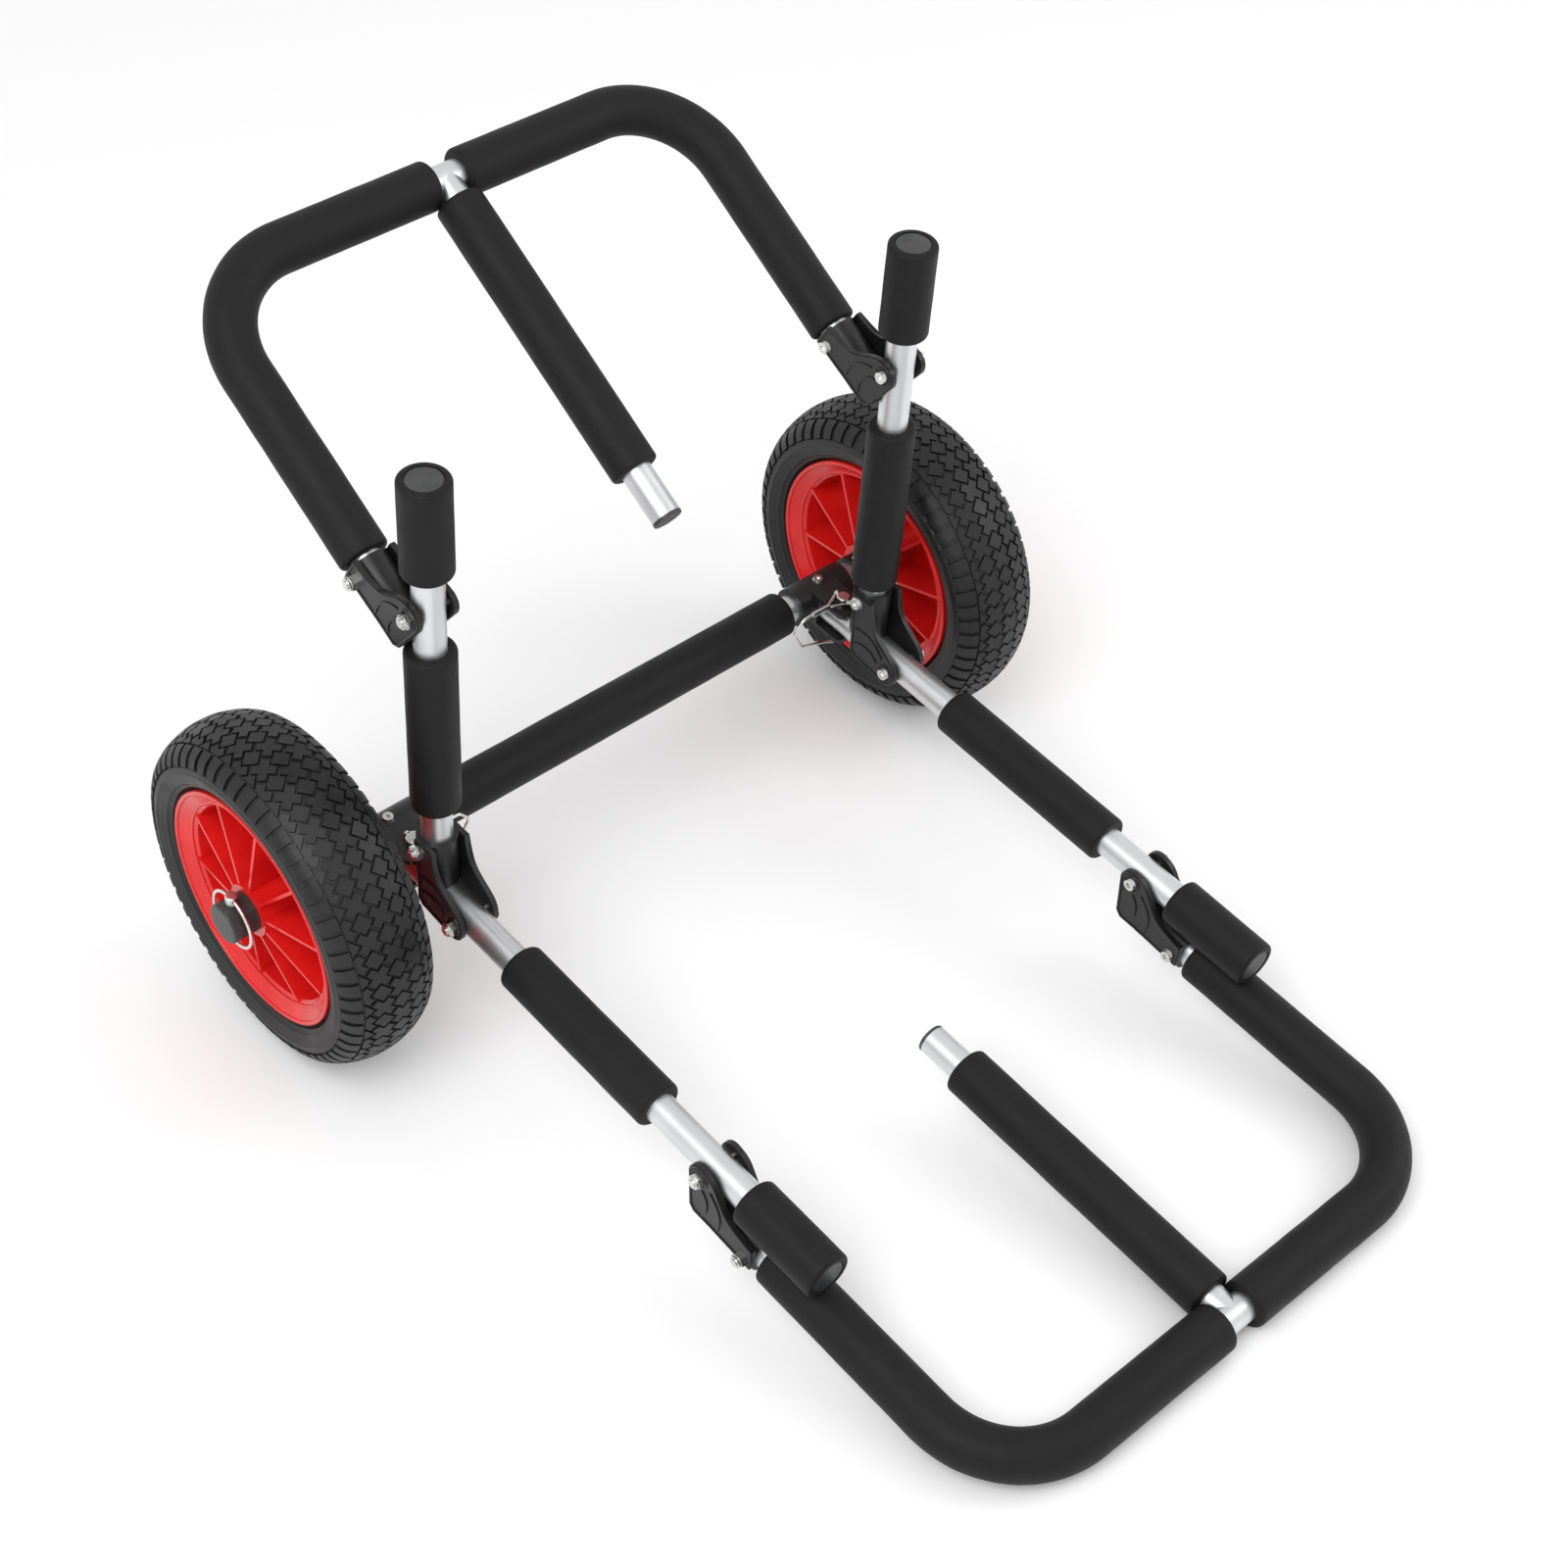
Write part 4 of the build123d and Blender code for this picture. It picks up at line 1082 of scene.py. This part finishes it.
# ---- moulded relief of the hinge brackets
@dataclass
class BracketRelief:
    """Raised borders, bolt bosses and ribs on both cheeks of the six hinge brackets.

    A bracket's own plane has x along its socket and y from the pivot towards the socket's axis.

    Attributes:
        cart: The cart's lines.
        finishes: The finishes.
        cheek: Distance of a cheek's outer face from the tube's middle.
        height: How far the relief stands proud.
        sunk: How far it goes into the cheek.
        border: Width of the raised border.
        boss: Inner and outer radius of the pivot's boss.
        rib: Width of the curved ribs.
        ear: Radius of the round ear.
        edge_gap: Distance of the border from the cheek's edge.
        bevel: Height of a band's sloped edges.
        crests: Shares of the outer and inner loop in a band's top edges.
        neck: Points of the edge from the ear to the socket.
        back: Corners of the back, from the socket to the heel.
        rib_lines: Points that the curved ribs pass.
    """

    cart: CartFrame
    finishes: Finishes
    cheek: float = 0.0158
    height: float = 0.0008
    sunk: float = 0.0004
    border: float = 0.0018
    boss: Spot = (0.0061, 0.0076)
    rib: float = 0.0014
    ear: float = 0.0105
    edge_gap: float = 0.0003
    bevel: float = 0.0003
    crests: tuple = ((0.8, 0.2), (0.2, 0.8))
    neck: tuple = ((0.0125, -0.006), (0.029, 0.014), (0.054, 0.0214))
    back: tuple = ((0.054, 0.0408), (0.015, 0.0384), (-0.0016, 0.0384), (-0.0062, 0.0338))
    rib_lines: tuple = (((0.0035, 0.0095), (0.0085, 0.0165), (0.0095, 0.0265), (0.0065, 0.0345)),
                        ((0.0105, 0.0045), (0.0185, 0.0125), (0.0225, 0.0225), (0.0215, 0.0345)))

    @staticmethod
    def _curve(points: Sequence[Spot], steps: int) -> list[Spot]:
        """Smooth line through points, by Catmull-Rom.

        Args:
            points: The points.
            steps: Steps between two points.

        Returns:
            The line's points.
        """
        ends = [points[0], *points, points[-1]]
        line = []
        for i in range(1, len(ends) - 2):
            p0, p1, p2, p3 = ends[i - 1:i + 3]
            for k in range(steps):
                t = k / steps
                line.append(tuple(0.5 * (2 * b + (c - a) * t + (2 * a - 5 * b + 4 * c - d) * t * t
                                         + (3 * b - a - 3 * c + d) * t ** 3)
                                  for a, b, c, d in zip(p0, p1, p2, p3)))
        return line + [points[-1]]

    def _outline(self) -> list[Spot]:
        """Outline of a cheek.

        Returns:
            The outline's points, anticlockwise.
        """
        ear = [(-self.ear * math.cos(a), -self.ear * math.sin(a))
               for a in (math.pi / 2 * i / 8 for i in range(9))]
        neck = self._curve(((0.0, -self.ear), *self.neck), 7)[1:]
        return ear + neck + list(self.back)

    @staticmethod
    def _inset(loop: Sequence[Spot], by: float) -> list[Spot]:
        """A loop moved inward by a distance; the loop runs anticlockwise.

        Args:
            loop: The loop.
            by: The distance.

        Returns:
            The moved loop, point for point.
        """
        moved = []
        count = len(loop)
        for i, spot in enumerate(loop):
            before, after = loop[i - 1], loop[(i + 1) % count]
            edges = []
            for a, b in ((before, spot), (spot, after)):
                length = math.dist(a, b)
                edges.append((-(b[1] - a[1]) / length, (b[0] - a[0]) / length))
            share = 1 + edges[0][0] * edges[1][0] + edges[0][1] * edges[1][1]
            moved.append(tuple(spot[k] + by * (edges[0][k] + edges[1][k]) / share for k in (0, 1)))
        return moved

    def _raised(self, outer: Sequence[Spot], inner: Sequence[Spot],
                place: Callable[[float, float, float], Vector]) -> Piece:
        """A closed raised band between two loops of equal count.

        Args:
            outer: The outer loop.
            inner: The inner loop.
            place: Puts (x, y, height) of the cheek in the cart's frame.

        Returns:
            The closed band.
        """
        low, high = self.cheek - self.sunk, self.cheek + self.height
        soft = high - self.bevel
        rings = [[place(*p, low) for p in outer], [place(*p, soft) for p in outer],
                 *([place(o[0] * a + i[0] * b, o[1] * a + i[1] * b, high) for o, i in zip(outer, inner)]
                   for a, b in self.crests),
                 [place(*p, soft) for p in inner], [place(*p, low) for p in inner]]
        return piece_from("band", [p for ring in rings for p in ring], band_faces(len(rings), len(outer)),
                          40.0)

    def _rib(self, line: Sequence[Spot], place: Callable[[float, float, float], Vector]
             ) -> Piece:
        """A closed raised rib along a line.

        Args:
            line: The rib's middle line.
            place: Puts (x, y, height) of the cheek in the cart's frame.

        Returns:
            The closed rib.
        """
        left, right = [], []
        for i, spot in enumerate(line):
            a, b = line[max(0, i - 1)], line[min(len(line) - 1, i + 1)]
            length = math.dist(a, b)
            across = (-(b[1] - a[1]) / length * self.rib / 2, (b[0] - a[0]) / length * self.rib / 2)
            left.append((spot[0] + across[0], spot[1] + across[1]))
            right.append((spot[0] - across[0], spot[1] - across[1]))
        n = len(line)
        low, high = self.cheek - self.sunk, self.cheek + self.height
        points = [place(*p, h) for row, h in ((left, low), (left, high), (right, high), (right, low))
                  for p in row]
        faces = band_faces(4, n, False)
        faces += [(0, n, 2 * n, 3 * n), (n - 1, 2 * n - 1, 3 * n - 1, 4 * n - 1)]
        return piece_from("rib", points, faces, 40.0)

    def build(self) -> None:
        """Makes the relief of every bracket."""
        cart = self.cart
        outline = self._outline()
        round_of = {r: [(r * math.cos(FULL_TURN * i / 28), r * math.sin(FULL_TURN * i / 28))
                        for i in range(28)]
                    for r in self.boss}
        ribs = [self._curve(line, 6) for line in self.rib_lines]
        for kind, pivot, angle, turn in (("foot", cart.foot, cart.upright_angle, 1),
                                         ("rear", cart.top, cart.rear_angle, 1),
                                         ("front", cart.front, 0.0, -1)):
            along = cart.turned(angle)
            towards = (ACROSS * turn).cross(along)
            for side in Side:
                parts = []
                for cheek in (-1, 1):
                    def place(x: float, y: float, high: float, cheek: int = cheek,
                              side: Side = side) -> Vector:
                        """Point of the cheek's face in the cart's frame."""
                        return (pivot + along * x + towards * y
                                + ACROSS * (side.value * cart.rail_x + cheek * high))
                    parts.append(self._raised(self._inset(outline, self.edge_gap),
                                              self._inset(outline, self.edge_gap + self.border), place))
                    parts.append(self._raised(round_of[self.boss[1]], round_of[self.boss[0]], place))
                    parts += [self._rib(line, place) for line in ribs]
                relief = join(f"{kind}_bracket_relief_{side.word}", parts, 40.0)
                self.finishes.dress(relief, "bracket")
                attach(relief, body_holding(f"{kind}_bracket_{side.word}"), "bracket")


# ---- metal and moulded parts kept from the frame
class KeptParts:
    """CAD parts whose shape is already right, given their finishes."""

    SLOTS = (("tube", "aluminium"), ("bracket", "bracket"), ("clamp", "bracket"), ("collars", "bracket"),
             ("end_caps", "cap"), ("plug", "cap"), ("bolts", "steel"), ("nuts", "steel"), ("screws", "steel"),
             ("pin", "steel"), ("bail", "steel"), ("ring", "steel"), ("rim", "rim"), ("bush", "bush"))

    def __init__(self, finishes: Finishes) -> None:
        """Keeps the finishes."""
        self.finishes = finishes

    def build(self) -> None:
        """Dresses every CAD part that still shows."""
        for name, node in frame["nodes"].items():
            if node.hide_render:
                continue
            slot = next(slot for word, slot in self.SLOTS if word in name)
            self.finishes.dress(node, slot)
            LOG.info("%s keeps its shape, finish %s", name, slot)


# ---- studio
@dataclass
class Studio:
    """White floor, soft light and camera.

    Attributes:
        place: The camera's place.
        turn: The camera's rotation in degrees.
        lens: Focal length in millimetres on a 36 mm sensor.
        aim: Point that the lights face.
        floor_half: Half the side of the floor.
        glow: Strength of the white world.
        panels: Name, place, side and power in watts of each light.
    """

    place: tuple[float, float, float] = (0.945293, 0.972395, 1.459434)
    turn: tuple[float, float, float] = (47.33275, -0.99294, 137.87678)
    lens: float = 62.712
    aim: tuple[float, float, float] = (0, 0, 0.2)
    floor_half: float = 9
    glow: float = 0.9
    panels: tuple = (("key_panel", (1.6, 0.6, 2.2), 1.6, 34.0), ("side_panel", (-1.8, 1.2, 1.5), 1.2, 14.0))

    def camera(self) -> None:
        """Makes the camera."""
        data = bpy.data.cameras.new("studio_camera")
        data.lens, data.sensor_width, data.clip_start = self.lens, 36.0, 0.01
        made = bpy.data.objects.new("studio_camera", data)
        made.location = self.place
        made.rotation_euler = Euler([math.radians(a) for a in self.turn], "XYZ")
        bpy.context.scene.collection.objects.link(made)
        bpy.context.scene.camera = made

    def _panel(self, name: str, place: Vector, size: float, power: float) -> None:
        """One square soft light that faces the cart.

        Args:
            name: The light's name.
            place: Where it hangs.
            size: Its side in metres.
            power: Its power in watts.
        """
        data = bpy.data.lights.new(name, "AREA")
        data.size, data.energy = size, power
        made = bpy.data.objects.new(name, data)
        made.location = place
        made.rotation_euler = (Vector(self.aim) - place).to_track_quat("-Z", "Y").to_euler()
        bpy.context.scene.collection.objects.link(made)

    def build(self) -> None:
        """Makes the floor, the world, the lights and the camera."""
        self.camera()
        far = self.floor_half
        floor = piece_from("floor", [(-far, -far, 0), (far, -far, 0), (far, far, 0), (-far, far, 0)],
                           [(0, 1, 2, 3)])
        paint = bpy.data.materials.new("floor_white")
        paint.use_nodes = True
        nodes = NodeTree(paint.node_tree)
        shader = nodes.add("ShaderNodeBsdfPrincipled", {"Base Color": (0.9, 0.9, 0.9, 1), "Roughness": 0.7})
        nodes.add("ShaderNodeOutputMaterial", {"Surface": shader.outputs[0]})
        floor.data.materials.append(paint)
        world = bpy.data.worlds.new("studio_world")
        world.use_nodes = True
        sky = NodeTree(world.node_tree)
        glow = sky.add("ShaderNodeBackground", {"Color": (1, 1, 1, 1), "Strength": self.glow})
        sky.add("ShaderNodeOutputWorld", {"Surface": glow.outputs[0]})
        bpy.context.scene.world = world
        bpy.context.scene.view_settings.view_transform = "Standard"
        for name, place, size, power in self.panels:
            self._panel(name, Vector(place), size, power)
        LOG.info("studio ready")


def main() -> None:
    """Builds the cart in order, from studio to wheels."""
    logging.basicConfig(level=logging.INFO, format="%(name)s: %(message)s")
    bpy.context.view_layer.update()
    Studio().build()
    cart = CartFrame()
    finishes = Finishes()
    FoamSleeves(cart, finishes).build()
    Wheels(cart, finishes, RingOfCopies(), TyreShape()).build()
    BracketRelief(cart, finishes).build()
    KeptParts(finishes).build()


if __name__ == "__main__":
    main()
